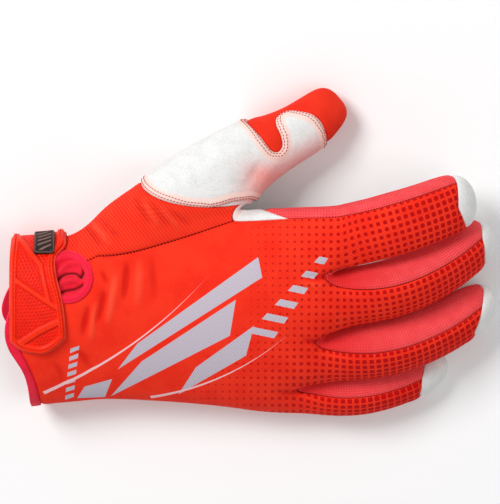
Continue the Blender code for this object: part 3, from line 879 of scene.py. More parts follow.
class Shader:
    """One procedural material. Values are numbers or the sockets of its nodes."""

    def __init__(self, name, colour, roughness, sheen=0.0):
        self.material = bpy.data.materials.new(name)
        self.material.use_nodes = True
        self.tree = self.material.node_tree
        self.main = self.tree.nodes["Principled BSDF"]
        self.main.inputs["Base Color"].default_value = (*colour, 1)
        self.main.inputs["Roughness"].default_value = roughness
        self.main.inputs["Sheen Weight"].default_value = sheen
        self.main.inputs["Specular IOR Level"].default_value = 0.12

    def put(self, socket, value):
        if isinstance(value, bpy.types.NodeSocket):
            self.tree.links.new(value, socket)
        elif isinstance(value, tuple) and len(value) == 3 and socket.type == "RGBA":
            socket.default_value = (*value, 1)
        else:
            socket.default_value = value

    def node(self, kind, **values):
        node = self.tree.nodes.new(kind)
        for name, value in values.items():
            setattr(node, name, value)
        return node

    def math(self, operation, *values):
        node = self.node("ShaderNodeMath", operation=operation)
        for socket, value in zip(node.inputs, values):
            self.put(socket, value)
        return node.outputs[0]

    def times(self, first, second):
        return self.math("MULTIPLY", first, second)

    def minus(self, first, second):
        return self.math("SUBTRACT", first, second)

    def vector(self, operation, *values, output=0):
        node = self.node("ShaderNodeVectorMath", operation=operation)
        for socket, value in zip(node.inputs, values):
            self.put(socket, value)
        return node.outputs[output]

    def mix(self, factor, first, second):
        node = self.node("ShaderNodeMix", data_type="RGBA")
        self.put(node.inputs[0], factor)
        self.put(node.inputs[6], first)
        self.put(node.inputs[7], second)
        return node.outputs[2]

    def step(self, value, low, high):
        node = self.node("ShaderNodeMapRange", interpolation_type="SMOOTHSTEP")
        self.put(node.inputs[0], value)
        self.put(node.inputs[1], low)
        self.put(node.inputs[2], high)
        return node.outputs[0]

    def layer(self, name):
        """A UV layer as a vector."""
        return self.node("ShaderNodeUVMap", uv_map=name).outputs[0]

    def parts(self, vector):
        node = self.node("ShaderNodeSeparateXYZ")
        self.put(node.inputs[0], vector)
        return node.outputs

    def place(self):
        """The place on the object in metres."""
        return self.node("ShaderNodeTexCoord").outputs["Object"]

    def noise(self, scale, detail=3.0, roughness=0.6, vector=None):
        node = self.node("ShaderNodeTexNoise")
        self.put(node.inputs["Vector"], vector or self.place())
        node.inputs["Scale"].default_value = scale
        node.inputs["Detail"].default_value = detail
        node.inputs["Roughness"].default_value = roughness
        return node.outputs[0]

    def wave(self, vector, across, pitch):
        """A sine from 0 to 1 along a direction in the vector's plane, in the vector's unit."""
        along = self.vector("DOT_PRODUCT", vector, (across[0], across[1], 0.0), output=1)
        turned_value = self.math("SINE", self.times(along, 2 * math.pi / pitch))
        return self.math("MULTIPLY_ADD", turned_value, 0.5, 0.5)

    def bump(self, height, distance, strength=1.0):
        node = self.node("ShaderNodeBump")
        node.inputs["Strength"].default_value = strength
        node.inputs["Distance"].default_value = distance
        self.put(node.inputs["Height"], height)
        self.put(self.main.inputs["Normal"], node.outputs[0])

    def colour(self, value):
        self.put(self.main.inputs["Base Color"], value)

    def painted_fold_shading(self, colour, deep, light):
        """The colour with painted shade in the cloth's creases and a painted highlight on its folds."""
        relief = self.parts(self.layer("relief"))[0]
        colour = self.mix(self.times(self.step(relief, 0.5, 0.1), 0.75), colour, deep)
        return self.mix(self.times(self.step(relief, 0.5, 0.9), 0.7), colour, light)


RED = linear(249, 46, 22)
RED_DEEP = linear(240, 30, 12)
# The knit's pale red, which is also the painted highlight on fold ridges, and the painted shade of fold
# hollows
RED_PALE_AND_HIGHLIGHT = linear(255, 84, 56)
RED_FOLD_SHADE = linear(206, 18, 10)
DOT_RED = linear(190, 8, 12)
LILAC = linear(205, 196, 207)
PALE_PINK = linear(246, 200, 204)
PINK = linear(246, 84, 88)
PINK_SHADE = linear(230, 48, 52)
# Painted shade on the gussets towards the webs between the fingers
PINK_WEB_SHADE = linear(226, 26, 26)
BINDING = linear(246, 30, 66)
SUEDE = linear(236, 235, 234)
SUEDE_SHADE = linear(224, 225, 223)
ORANGE = linear(255, 34, 3)
BLACK = linear(30, 27, 27)

DOT_PITCH = 3.25
TWILL_PITCH = 1.05
TWILL = (math.sin(math.radians(52)), math.cos(math.radians(52)))
CROSS_TWILL = (TWILL[1], -TWILL[0])

# Printed flashes, as corners in pixels of the photograph
FLASHES = (
    ((118, 368), (138, 342), (258, 256), (262, 276)),
    ((110, 396), (142, 360), (236, 298), (230, 334)),
    ((178, 394), (196, 366), (254, 324), (246, 354)),
    ((76, 398), (84, 386), (112, 378), (104, 397)),
)
# Rows of printed bars: start and end in pixels, number of bars, share that is printed, and the half
# length of the first and the last bar in mm
BAR_ROWS = (
    ((68, 400), (76, 344), 7, 0.55, 1.9, 1.9),
    ((258, 338), (326, 252), 6, 0.42, 5.4, 1.6),
)
# Printed lines: ends and a point that the line bends through, in pixels, and its width in mm
PRINT_LINES = (
    ((43, 392), (122, 350), (200, 284), 1.5),
    ((150, 397), (214, 379), (284, 336), 1.2),
)


def print_plane(p, q):
    """Numbers a, b and c of a line through two places in mm, with a u + b v + c above 0 on its left."""
    run = np.array(q) - np.array(p)
    normal = np.array([-run[1], run[0]]) / np.linalg.norm(run)
    return (float(normal[0]), float(normal[1]), float(-normal @ np.array(p)))


def mm_at(pixel):
    right, up = plan_at(*pixel)
    return np.array([right / MM, up / MM])


def circle_through(a, b, c):
    """The centre and radius of the circle through three places."""
    d = 2 * (a[0] * (b[1] - c[1]) + b[0] * (c[1] - a[1]) + c[0] * (a[1] - b[1]))
    sq = [p @ p for p in (a, b, c)]
    x = (sq[0] * (b[1] - c[1]) + sq[1] * (c[1] - a[1]) + sq[2] * (a[1] - b[1])) / d
    y = (sq[0] * (c[0] - b[0]) + sq[1] * (a[0] - c[0]) + sq[2] * (b[0] - a[0])) / d
    centre = np.array([x, y])
    return centre, float(np.linalg.norm(a - centre))


def smaller(shader, values):
    """The smallest of several values."""
    least = values[0]
    for value in values[1:]:
        least = shader.math("MINIMUM", least, value)
    return least


def larger(shader, values):
    """The largest of several values."""
    most = values[0]
    for value in values[1:]:
        most = shader.math("MAXIMUM", most, value)
    return most


def flash(shader, place, corners):
    """How far inside a printed shape with straight sides the cloth is, in mm."""
    ring = [mm_at(c) for c in corners]
    area = sum(p[0] * q[1] - p[1] * q[0] for p, q in zip(ring, ring[1:] + ring[:1]))
    ring = ring if area > 0 else ring[::-1]
    sides = []
    for p, q in zip(ring, ring[1:] + ring[:1]):
        sides.append(shader.vector("DOT_PRODUCT", place, print_plane(p, q), output=1))
    return smaller(shader, sides)


def bar_row(shader, place, first, last, count, share, half_first, half_last):
    """How far inside one of a row of slanting bars the cloth is, in mm."""
    a, b = mm_at(first), mm_at(last)
    length = float(np.linalg.norm(b - a))
    run = (b - a) / length
    along_plane = (float(run[0]), float(run[1]), float(-run @ a))
    along = shader.vector("DOT_PRODUCT", place, along_plane, output=1)
    off = shader.vector("DOT_PRODUCT", place, print_plane(a, b), output=1)
    slanted = shader.math("MULTIPLY_ADD", off, 0.5, along)
    pitch = length / count
    cell = shader.math("FRACT", shader.math("DIVIDE", slanted, pitch))
    cell = shader.math("ABSOLUTE", shader.minus(cell, 0.5))
    bar = shader.times(shader.minus(share / 2, cell), pitch)
    half = shader.math("MULTIPLY_ADD", slanted, (half_last - half_first) / length, half_first)
    inside = shader.minus(half, shader.math("ABSOLUTE", off))
    return smaller(shader, [bar, inside, slanted, shader.minus(length, slanted)])


def print_line(shader, cloth, place, first, middle, last, width):
    """How far inside a thin curved line the cloth is, in mm. It narrows to its last end."""
    a, b, c = mm_at(first), mm_at(middle), mm_at(last)
    centre, radius = circle_through(a, b, c)
    away = shader.vector("DISTANCE", cloth, (float(centre[0]), float(centre[1]), 0.0), output=1)
    off = shader.math("ABSOLUTE", shader.minus(away, radius))
    length = float(np.linalg.norm(c - a))
    run = (c - a) / length
    plane = (float(run[0]), float(run[1]), float(-run @ a))
    along = shader.vector("DOT_PRODUCT", place, plane, output=1)
    left = shader.math("MINIMUM", shader.minus(length, along), length)
    taper = shader.times(left, width / 2 / length)
    return smaller(shader, [shader.minus(taper, off), along])


def printed(shader, cloth):
    """1 where the back is printed in lilac, and 1 where its thin lines are."""
    u, v, _ = shader.parts(cloth)
    join = shader.node("ShaderNodeCombineXYZ")
    shader.put(join.inputs[0], u)
    shader.put(join.inputs[1], v)
    join.inputs[2].default_value = 1.0
    place = join.outputs[0]
    shapes = [flash(shader, place, corners) for corners in FLASHES]
    shapes += [bar_row(shader, place, *row) for row in BAR_ROWS]
    lines = [print_line(shader, cloth, place, *row) for row in PRINT_LINES]
    flashes = shader.step(larger(shader, shapes), -0.12, 0.12)
    return flashes, shader.step(larger(shader, lines), -0.1, 0.1)


def knit_bump(shader, cloth, height, coarse=None):
    """A fine knit with its diagonal rows, and an added coarse height if given."""
    rows = shader.wave(cloth, TWILL, TWILL_PITCH)
    stitches = shader.wave(cloth, CROSS_TWILL, 0.8)
    knit = shader.math("MULTIPLY_ADD", stitches, 0.35, shader.times(rows, 0.65))
    total = shader.math("ADD", knit, shader.times(shader.noise(900), 0.5))
    if coarse is not None:
        total = shader.math("ADD", total, coarse)
    shader.bump(total, height)
    return rows


def back_material():
    """Printed knit: red, with dots that grow to the fingertips, lilac flashes and fine lines."""
    shader = Shader("back_knit", RED, 0.85)
    cloth, tone = shader.layer("cloth"), shader.parts(shader.layer("tone"))
    u, v, _ = shader.parts(cloth)
    flashes, lines = printed(shader, cloth)
    rows = shader.wave(cloth, TWILL, TWILL_PITCH)
    mottle = shader.noise(70, 4)
    base = shader.mix(shader.step(mottle, 0.35, 0.7), RED, RED_DEEP)
    base = shader.mix(shader.times(rows, 0.30), base, RED_PALE_AND_HIGHLIGHT)
    # Painted shade in the hollows of the folds and a painted highlight on their ridges
    base = shader.painted_fold_shading(base, RED_FOLD_SHADE, RED_PALE_AND_HIGHLIGHT)
    cells = []
    for value in (u, v):
        cell = shader.math("FRACT", shader.math("DIVIDE", value, DOT_PITCH))
        cell = shader.math("ABSOLUTE", shader.minus(cell, 0.5))
        cells.append(shader.math("POWER", cell, 4.0))
    reach = shader.math("POWER", shader.math("ADD", *cells), 0.25)
    size = shader.times(tone[0], 0.5)
    dot = shader.step(shader.minus(size, reach), -0.035, 0.045)
    dot = shader.times(dot, shader.step(tone[0], 0.02, 0.22))
    dot = shader.times(dot, tone[1])
    base = shader.mix(dot, base, DOT_RED)
    weave = shader.mix(shader.times(rows, 0.55), LILAC, linear(176, 164, 182))
    base = shader.mix(flashes, base, weave)
    base = shader.mix(lines, base, PALE_PINK)
    shader.colour(base)
    pits = shader.times(dot, -0.8)
    knit_bump(shader, cloth, 0.00012, pits)
    return shader.material


def rib_material(name, pitch):
    """Stretch fabric, ribbed on the diagonal."""
    shader = Shader(name, RED, 0.85)
    cloth = shader.layer("cloth")
    ribs = shader.wave(cloth, TWILL, pitch)
    tone = shader.mix(shader.step(shader.noise(60), 0.3, 0.7), RED, RED_DEEP)
    # Painted shade in the hollows of the folds and a painted highlight on their ridges
    tone = shader.painted_fold_shading(tone, RED_FOLD_SHADE, RED_PALE_AND_HIGHLIGHT)
    shader.colour(shader.mix(shader.times(ribs, 0.42), tone, RED_PALE_AND_HIGHLIGHT))
    fine = shader.times(shader.noise(1100), 0.4)
    shader.bump(shader.math("ADD", ribs, fine), 0.00028)
    return shader.material


def mesh_material(name, light, shade, deep):
    """Open mesh knit of the gussets: rows of small holes, with painted shade towards the webs between the
    fingers.
    """
    shader = Shader(name, light, 0.85)
    cloth = shader.layer("cloth")
    along, across = shader.wave(cloth, (1, 0), 1.3), shader.wave(cloth, (0, 1), 1.15)
    hole = shader.step(shader.times(along, across), 0.42, 0.85)
    tone = shader.mix(shader.times(shader.step(shader.noise(220), 0.3, 0.7), 0.35), light, shade)
    tone = shader.mix(hole, tone, shade)
    # Painted shade towards the webs, from the second tone
    shader.colour(shader.mix(shader.parts(shader.layer("tone"))[1], tone, deep))
    shader.bump(shader.minus(shader.times(shader.noise(900), 0.3), hole), 0.0002)
    return shader.material


def suede_material(name, spots=0.0):
    """Synthetic suede: mottled nap, with a reddish cast where it takes light from the red cloth."""
    shader = Shader(name, SUEDE, 0.92, sheen=0.08)
    nap, grain = shader.noise(150, 5, 0.7), shader.noise(1500, 3, 0.75)
    tone = shader.mix(shader.step(nap, 0.36, 0.72), SUEDE, SUEDE_SHADE)
    speckle = shader.times(shader.step(grain, 0.44, 0.72), 0.6)
    tone = shader.mix(speckle, tone, linear(204, 205, 202))
    first, second, _ = shader.parts(shader.layer("tone"))
    red = shader.times(second, shader.math("MULTIPLY_ADD", grain, 0.9, 0.45))
    tone = shader.mix(red, tone, linear(246, 132, 122))
    height = shader.math("ADD", grain, nap)
    if spots:
        cloth = shader.layer("cloth")
        along = shader.wave(cloth, (0.7071, 0.7071), spots)
        across = shader.wave(cloth, (0.7071, -0.7071), spots)
        hole = shader.step(shader.times(along, across), 0.9, 0.96)
        hole = shader.times(hole, first)
        tone = shader.mix(hole, tone, linear(120, 118, 116))
        height = shader.minus(height, hole)
    else:
        tone = shader.mix(shader.times(first, 0.8), tone, linear(250, 212, 200))
    shader.colour(tone)
    shader.bump(height, 0.00022)
    return shader.material


def tape_material(name, light, shade):
    """Folded stretch binding with a fine rib across it."""
    shader = Shader(name, light, 0.7, sheen=0.1)
    fine = shader.noise(1400, 3)
    soft = shader.noise(120, 3)
    shader.colour(shader.mix(shader.step(soft, 0.3, 0.75), light, shade))
    shader.bump(shader.math("ADD", fine, soft), 0.00018)
    return shader.material


def liner_material():
    """Soft knit of the liner, with painted shade in its folds."""
    shader = Shader("liner_knit", linear(238, 34, 58), 0.85, sheen=0.1)
    soft = shader.step(shader.noise(150, 3), 0.3, 0.75)
    tone = shader.mix(soft, linear(240, 38, 62), linear(218, 22, 44))
    # Painted shade in the liner's folds, from the first tone
    shader.colour(shader.mix(shader.parts(shader.layer("tone"))[0], tone, linear(110, 6, 16)))
    shader.bump(shader.noise(1400, 3), 0.00018)
    return shader.material


def rubber_material(name, colour, roughness, edge, shade):
    """Moulded rubber with a slight grain, lighter on its raised edges, with painted shade in its hollows.
    """
    shader = Shader(name, colour, roughness)
    shader.main.inputs["Specular IOR Level"].default_value = 0.16
    first, second, _ = shader.parts(shader.layer("tone"))
    grain = shader.step(shader.noise(180, 4), 0.35, 0.7)
    tone = shader.mix(grain, colour, tuple(0.86 * c for c in colour))
    tone = shader.mix(first, tone, edge)
    # Painted shade in the hollows, from the second tone
    shader.colour(shader.mix(second, tone, shade))
    shader.bump(shader.noise(2200, 2), 0.00005)
    return shader.material


def plain_material(name, colour, roughness, grain=0.00008, scale=1500):
    """Thread or cloth of one dye, with a grain."""
    shader = Shader(name, colour, roughness)
    grain_value = shader.noise(scale, 2)
    shader.colour(shader.mix(grain_value, colour, tuple(0.72 * c for c in colour)))
    shader.bump(grain_value, grain)
    return shader.material


# Lines of stitches


def resampled(line, step, closed):
    """A line of points again, evenly spaced by about a step."""
    line = np.asarray(line, float)
    if closed:
        line = np.concatenate([line, line[:1]])
    run = np.concatenate([[0], np.cumsum(np.linalg.norm(np.diff(line, axis=0), axis=1))])
    count = max(3, round(run[-1] / step))
    at = np.linspace(0, run[-1], count + 1)
    if closed:
        at = at[:-1]
    return np.stack([np.interp(at, run, line[:, i]) for i in range(line.shape[1])], axis=1)


def eased(line, rounds, closed):
    """A line with its small zigzags taken out."""
    line = line.copy()
    for _ in range(rounds):
        after, before = np.roll(line, -1, axis=0), np.roll(line, 1, axis=0)
        middle = 0.5 * line + 0.25 * (after + before)
        if not closed:
            middle[0], middle[-1] = line[0], line[-1]
        line = middle
    return line


def stitch_row(line, normals, pitch, share, radius, closed, sink=0.35, phase=0.0):
    """Points and faces of a row of thread stitches along a line on a surface."""
    ends = np.concatenate([line, line[:1]]) if closed else line
    up = np.concatenate([normals, normals[:1]]) if closed else normals
    run = np.concatenate([[0], np.cumsum(np.linalg.norm(np.diff(ends, axis=0), axis=1))])
    count = max(1, int(run[-1] / pitch))
    pitch = run[-1] / count
    rings, sides = 5, 6
    points, faces = [], []
    for n in range(count):
        middle = (n + 0.5 + phase) * pitch
        at = middle + pitch * share * np.linspace(-0.5, 0.5, rings)
        place = np.stack([np.interp(at, run, ends[:, i]) for i in range(3)], axis=1)
        normal = unit(np.stack([np.interp(at, run, up[:, i]) for i in range(3)], axis=1))
        along = unit(np.gradient(place, axis=0))
        side = unit(np.cross(along, normal))
        t = np.linspace(-1, 1, rings)
        size = radius * np.sqrt(np.maximum(1 - 0.82 * t**4, 0.05))
        lift = radius * (0.9 - (0.9 + sink) * t**4)
        centre = place + normal * lift[:, None]
        first = len(points)
        for r in range(rings):
            for k in range(sides):
                a = 2 * math.pi * k / sides
                points.append(centre[r] + size[r] * (side[r] * math.cos(a) + normal[r] * math.sin(a)))
        for r in range(rings - 1):
            for k in range(sides):
                m = (k + 1) % sides
                p, q = first + r * sides, first + (r + 1) * sides
                faces.append((p + k, p + m, q + m, q + k))
        faces.append(tuple(first + k for k in reversed(range(sides))))
        faces.append(tuple(first + (rings - 1) * sides + k for k in range(sides)))
    return points, faces


class Thread:
    """All the stitches of one piece of thread, gathered into one mesh."""

    def __init__(self):
        self.points, self.faces = [], []

    def row(self, line, normals, pitch, share, radius, closed=False, phase=0.0):
        points, faces = stitch_row(line, normals, pitch, share, radius, closed, phase=phase)
        base = len(self.points)
        self.points += points
        self.faces += [tuple(base + v for v in f) for f in faces]

    def piece(self, name, material, slot):
        points = np.array(self.points)
        points[:, 2] = np.maximum(points[:, 2], 0.0)
        made = object_of(name, points, self.faces)
        return finish_piece(made, material, slot)


def line_on(surface, line, lift=0.0):
    """A line laid on a surface: its points and the normals there."""
    found = [surface.nearest(p) for p in line]
    points = np.array([f[0] for f in found])
    normals = np.array([f[1] for f in found])
    return points + normals * lift, normals


def inset_line(surface, loop, inset, closed=True, rounds=12):
    """A line that runs a distance inside a border, laid on the surface."""
    line = eased(resampled(loop, 0.5 * MM, closed), rounds, closed)
    _, normals = line_on(surface, line)
    along = unit(np.roll(line, -1, axis=0) - np.roll(line, 1, axis=0))
    if not closed:
        along[0], along[-1] = along[1], along[-2]
    return line_on(surface, line + np.cross(normals, along) * inset)


# The skin's own shape

# Where the thumb's red tip starts, with its tongue and the white lobe: column and row of its grid
TIP_BORDER = (
    (-0.75, 4.25), (0.31, 4.23), (0.94, 4.22), (1.81, 4.18), (2.3, 4.22), (2.5, 4.42), (2.2, 4.66),
    (1.5, 4.80), (0.5, 4.90), (-0.10, 5.10), (-0.20, 5.50), (0.5, 5.92), (1.25, 6.18), (2.31, 6.28),
    (3.31, 6.20), (4.5, 6.06), (6.0, 6.1), (8.0, 6.2), (8.7, 5.8), (9.2, 5.1), (9.9, 4.45),
)
THUMB_COLUMN_COUNT = 12

# Step in columns of the borders below, and how many steps their corners are eased over
CURVE_STEP, CURVE_EASE = 0.05, 9

# Where the thumb's overlay starts: row of the grid by column
OVERLAY_COLUMNS = (0, 1, 2, 2.9, 3.2, 3.45, 3.8, 5, 7, 8, 10, 12)
OVERLAY_ROWS = (1.0, 1.0, 1.0, 1.0, 1.2, 1.75, 2.2, 2.3, 1.3, 1.0, 1.0, 1.0)

# Where each fingertip's white suede starts: row of the finger's grid by column
FINGERTIP_COLUMNS = (0, 1, 2, 3, 4, 6, 7, 8)
FINGERTIP_ROWS = {
    "index": (5.80, 5.36, 5.7, 6.0, 6.0, 6.2, 6.0, 5.80),
    "middle": (6.00, 5.72, 5.9, 6.2, 6.2, 7.1, 6.7, 6.00),
    "ring": (5.95, 5.30, 5.5, 5.8, 6.0, 7.0, 6.7, 5.95),
    "little": (5.20, 5.00, 5.2, 5.5, 5.6, 6.0, 5.7, 5.20),
}

# How far the back's cloth wraps onto a finger's far side, in columns, by row of the finger's grid
WRAP_ROWS = ((0.0, 0.0), (0.5, 0.25), (1.2, 0.5), (6.0, 0.5), (8.0, 0.3))

# Soft folds: pixels of the line, half width in mm and height in mm
FOLDS = (
    (((90, 304), (87, 318), (83, 336)), 1.5, -0.75),
    (((98, 300), (94, 318), (91, 340)), 1.7, 0.60),
    (((106, 288), (103, 304), (98, 322)), 1.6, -0.80),
    (((117, 272), (113, 296), (108, 324)), 2.0, 0.65),
    (((128, 262), (127, 280), (124, 300)), 1.7, -0.80),
    (((141, 256), (140, 280), (138, 306)), 2.4, 0.45),
    (((153, 254), (154, 276), (156, 300)), 2.2, -0.40),
    (((102, 268), (106, 276), (110, 284)), 1.5, -0.50),
    (((74, 346), (84, 356), (92, 370)), 2.2, -0.45),
    (((52, 360), (60, 370), (64, 386)), 2.0, -0.40),
    (((84, 224), (93, 234), (104, 246)), 1.3, -0.85),
    (((90, 220), (101, 231), (113, 243)), 1.5, 0.65),
    (((98, 216), (110, 228), (122, 240)), 1.3, -0.70),
    (((134, 196), (142, 208), (152, 224)), 1.4, -0.85),
    (((142, 198), (151, 211), (161, 224)), 1.4, 0.75),
    (((150, 200), (160, 213), (170, 225)), 1.3, -0.85),
    (((159, 206), (169, 216), (180, 227)), 1.4, 0.60),
    (((170, 208), (180, 217), (192, 226)), 1.3, -0.55),
    (((250, 226), (264, 223), (280, 222)), 1.8, -0.35),
    (((262, 160), (254, 172), (244, 186)), 2.2, -0.55),
    (((276, 160), (266, 174), (256, 188)), 2.4, 0.40),
    (((230, 178), (240, 184), (250, 188)), 1.6, -0.40),
    (((300, 274), (316, 277), (330, 272)), 1.5, -0.70),
    (((296, 280), (312, 283), (324, 283)), 1.5, 0.45),
    (((302, 338), (316, 341), (330, 337)), 1.5, -0.60),
    (((276, 392), (292, 393), (306, 390)), 1.4, -0.50),
)
# Share by which all the folds are raised
FOLD_RISE = 1.35


def interpolated(columns, values, at, period):
    """A smooth closed curve that follows values at columns, and is read at other columns."""
    columns = np.concatenate([np.array(columns[:-1], float) + shift * period for shift in (-1, 0, 1)])
    values = np.tile(np.array(values[:-1], float), 3)
    fine = np.arange(-period, 2 * period, CURVE_STEP)
    rough = np.interp(fine, columns, values)
    kernel = np.hanning(CURVE_EASE + 2)[1:-1]
    smooth = np.convolve(rough, kernel / kernel.sum(), mode="same")
    return np.interp(np.mod(at, period), fine, smooth)


# Fine fit of the outline, in pixels of the photograph: place, and how far it moves right and down
FIT = (
    (0, 318, 2, 0), (0, 338, 7, -2), (4, 356, 12, -5), (14, 374, 11, -4), (24, 390, 4, -1),
    (32, 405, -4, 1), (24, 318, 0, 0), (32, 340, 0, 0), (44, 362, 0, 0), (50, 380, 0, 0), (56, 398, 0, 0),
    (16, 231, 0, 3), (40, 228, 0, 3), (62, 227, 1, 4), (78, 230, 1, 2), (90, 225, 0, -2),
    (101, 218, 0, -8), (111, 208, 0, -7), (123, 199, 1, -2), (142, 180, 3, 1), (164, 160, 3, 5),
    (184, 143, 3, 7), (204, 131, 2, 7), (224, 122, 1, 5), (242, 116, 0, 3), (262, 109, 1, 4),
    (284, 98, 2, 5), (302, 88, 2, 5), (322, 83, 0, 3), (342, 92, -1, 1), (30, 262, 0, 0), (66, 256, 0, 0),
    (100, 246, 0, 0), (134, 226, 0, 0), (162, 206, 0, 0), (190, 198, 0, 0), (220, 190, 0, 0),
    (240, 180, 0, 0), (262, 166, 0, 0), (284, 152, 0, 0), (306, 140, 0, 0), (330, 132, 0, 0),
)
# How far each place of the fit reaches, in pixels, and the weight of staying still
FIT_REACH = 13
FIT_FADE = 0.2

# Row of the hand's grid where the cuff's binding ends, and the columns of the hand's far side
BINDING_ROW = 0.62
SIDE_COLUMNS = (7, 10)

# The slanted end of the index finger's side gusset beside the thumb: a pixel on it, and its slant
WEB_END, WEB_SLANT = (286, 217), 2.6

# Sunk seams and the puffed cloth beside them, in mm: height, reach, and the puff's distance from the seam
SEAM_SINK, SEAM_REACH = 0.42, 0.8
PUFF_RISE, PUFF_REACH, PUFF_AWAY = 0.22, 2.0, 3.4


def fitted(skin):
    """Moves the skin a little in the photograph's plane, by the table of the fine fit."""
    places = pixels_of(skin.points)
    total = np.full(len(places), FIT_FADE)
    moved = np.zeros((len(places), 2))
    for x, y, right, down in FIT:
        weight = np.exp(-(((places - (x, y)) / FIT_REACH) ** 2).sum(axis=1) / 2)
        total += weight
        moved += weight[:, None] * (right, down)
    moved *= PIXEL / total[:, None]
    skin.points[:, 0] += moved[:, 0]
    skin.points[:, 1] -= moved[:, 1] / VIEW_COS


def cut_binding(skin):
    """Gives what lies past the cuff's binding in the hand's first row to the panels beside it."""
    side = np.where(skin.part == HAND_PART, skin.grid[:, 1] - BINDING_ROW, -1.0)
    for panel, low, high in ((BACK, 0, 10), (PALM, 10, 18), (THUMB_BASE, 18, 20)):
        hem = (skin.face_part == HAND_PART) & (skin.panel == CUFF)
        chosen = hem & (skin.face_column >= low) & (skin.face_column < high)
        skin.cut(side, chosen, panel)


def cut_fingers(skin):
    """Wraps the back's cloth onto the fingers' far sides, and cuts the white fingertips out."""
    for finger, row in enumerate(rows_of(FINGER_COLUMNS, FINGERS)):
        part = finger + 1
        if finger < 3:
            column, along = skin.grid[:, 0], skin.grid[:, 1]
            wrap = np.interp(along, [a for a, _ in WRAP_ROWS], [b for _, b in WRAP_ROWS])
            near = (skin.part == part) & (column > 1.5) & (column < 4)
            side = np.where(near, 2 + wrap - column, -1.0)
            skin.cut(side, (skin.face_part == part) & (skin.panel == GUSSETS[finger + 1]), BACK)
        start = interpolated(FINGERTIP_COLUMNS, FINGERTIP_ROWS[row["name"]], skin.grid[:, 0], 8)
        side = np.where(skin.part == part, skin.grid[:, 1] - start, -1.0)
        skin.cut(side, skin.face_part == part, PALM)


def cut_thumb(skin):
    """Gives the web beside the thumb to the palm, and cuts the thumb's overlay and its tip out."""
    places = pixels_of(skin.points)
    side = WEB_END[0] - places[:, 0] + WEB_SLANT * (places[:, 1] - WEB_END[1])
    skin.cut(side, skin.panel == GUSSETS[0], PALM)
    start = interpolated(OVERLAY_COLUMNS, OVERLAY_ROWS, skin.grid[:, 0], THUMB_COLUMN_COUNT)
    side = np.where(skin.part == THUMB_PART, start - skin.grid[:, 1], -1.0)
    skin.cut(side, (skin.face_part == THUMB_PART) & (skin.panel == OVERLAY), PALM)
    thumb = np.flatnonzero(skin.part == THUMB_PART)
    turns = [np.array(TIP_BORDER) + (turn * THUMB_COLUMN_COUNT, 0) for turn in (-1, 0, 1)]
    border = rounded(np.concatenate(turns), closed=False)
    first, last = border[0, 0], border[-1, 0]
    beyond = len(THUMB_STATIONS) + 4
    closed = np.concatenate([border, [(last, beyond), (first, beyond)]])
    side = np.full(len(skin.points), -1.0)
    side[thumb] = outline_side(skin.grid[thumb], closed)
    skin.cut(side, (skin.face_part == THUMB_PART) & (skin.panel == OVERLAY), THUMB_TIP)


def vent_centre():
    """The vent's middle in the photograph's view, in metres to the right and up."""
    return VENT_X + SHIFT[0], VENT_HEIGHT + SHIFT[1] * VIEW_COS


def cut_vent(skin):
    """Cuts the hole whose edge the vent's binding covers."""
    up = towards_camera(skin.normals())
    away = np.linalg.norm(plan_of(skin.points) - vent_centre(), axis=1)
    side = np.where(up > 0.15, VENT_OUTER - VENT_HEM - away, -1.0)
    chosen = np.isin(skin.panel, (BACK, THUMB_BASE)) & (up[skin.faces].min(axis=1) > 0.1)
    skin.cut(side, chosen, CUT_AWAY)


def finger_cloth(skin, finger, plan):
    """The cloth's own coordinates on a finger, in mm: along its back and round it."""
    steps = FINE_ROWS
    table = skin.first_table(finger + 1)
    rows, columns = table.shape[:2]
    body = table[: len(FINGER_STATIONS) * steps + 1]
    along = np.linalg.norm(np.diff(body[:, steps], axis=0), axis=1)
    along = np.concatenate([[0], np.cumsum(along)])
    along = np.concatenate([along, along[-1] + np.arange(1, steps + 1) * (along[-1] - along[-2])])
    around = np.concatenate(
        [np.zeros((len(body), 1)), np.cumsum(np.linalg.norm(np.diff(body, axis=1), axis=2), axis=1)],
        axis=1,
    )
    around = np.concatenate([around, np.repeat(around[-1:], rows - len(around), axis=0)])
    chosen = np.flatnonzero(skin.part == finger + 1)
    k, s = skin.grid[chosen, 0] * steps, skin.grid[chosen, 1] * steps
    k = np.where(k > 4.5 * steps, k - 8 * steps, k)
    base = np.clip(np.floor(s).astype(int), 0, rows - 2)
    share = s - base
    turn = around[:, -1]

    def around_at(row, column):
        wrapped = np.where(column < 0, column + 8 * steps, column)
        low = np.clip(np.floor(wrapped).astype(int), 0, columns - 2)
        value = around[row, low] + (wrapped - low) * (around[row, low + 1] - around[row, low])
        return np.where(column < 0, value - turn[row], value) - around[row, steps]

    round_value = (1 - share) * around_at(base, k) + share * around_at(base + 1, k)
    along_value = along[base] + share * (along[base + 1] - along[base])
    root = body[0, steps]
    root_plan = plan_of(root[None])[0]
    own = np.stack([root_plan[0] + along_value, root_plan[1] - round_value], axis=1)
    weight = smooth_step(skin.grid[chosen, 1], 0.0, 1.7)[:, None]
    plan[chosen] = (1 - weight) * plan[chosen] + weight * own


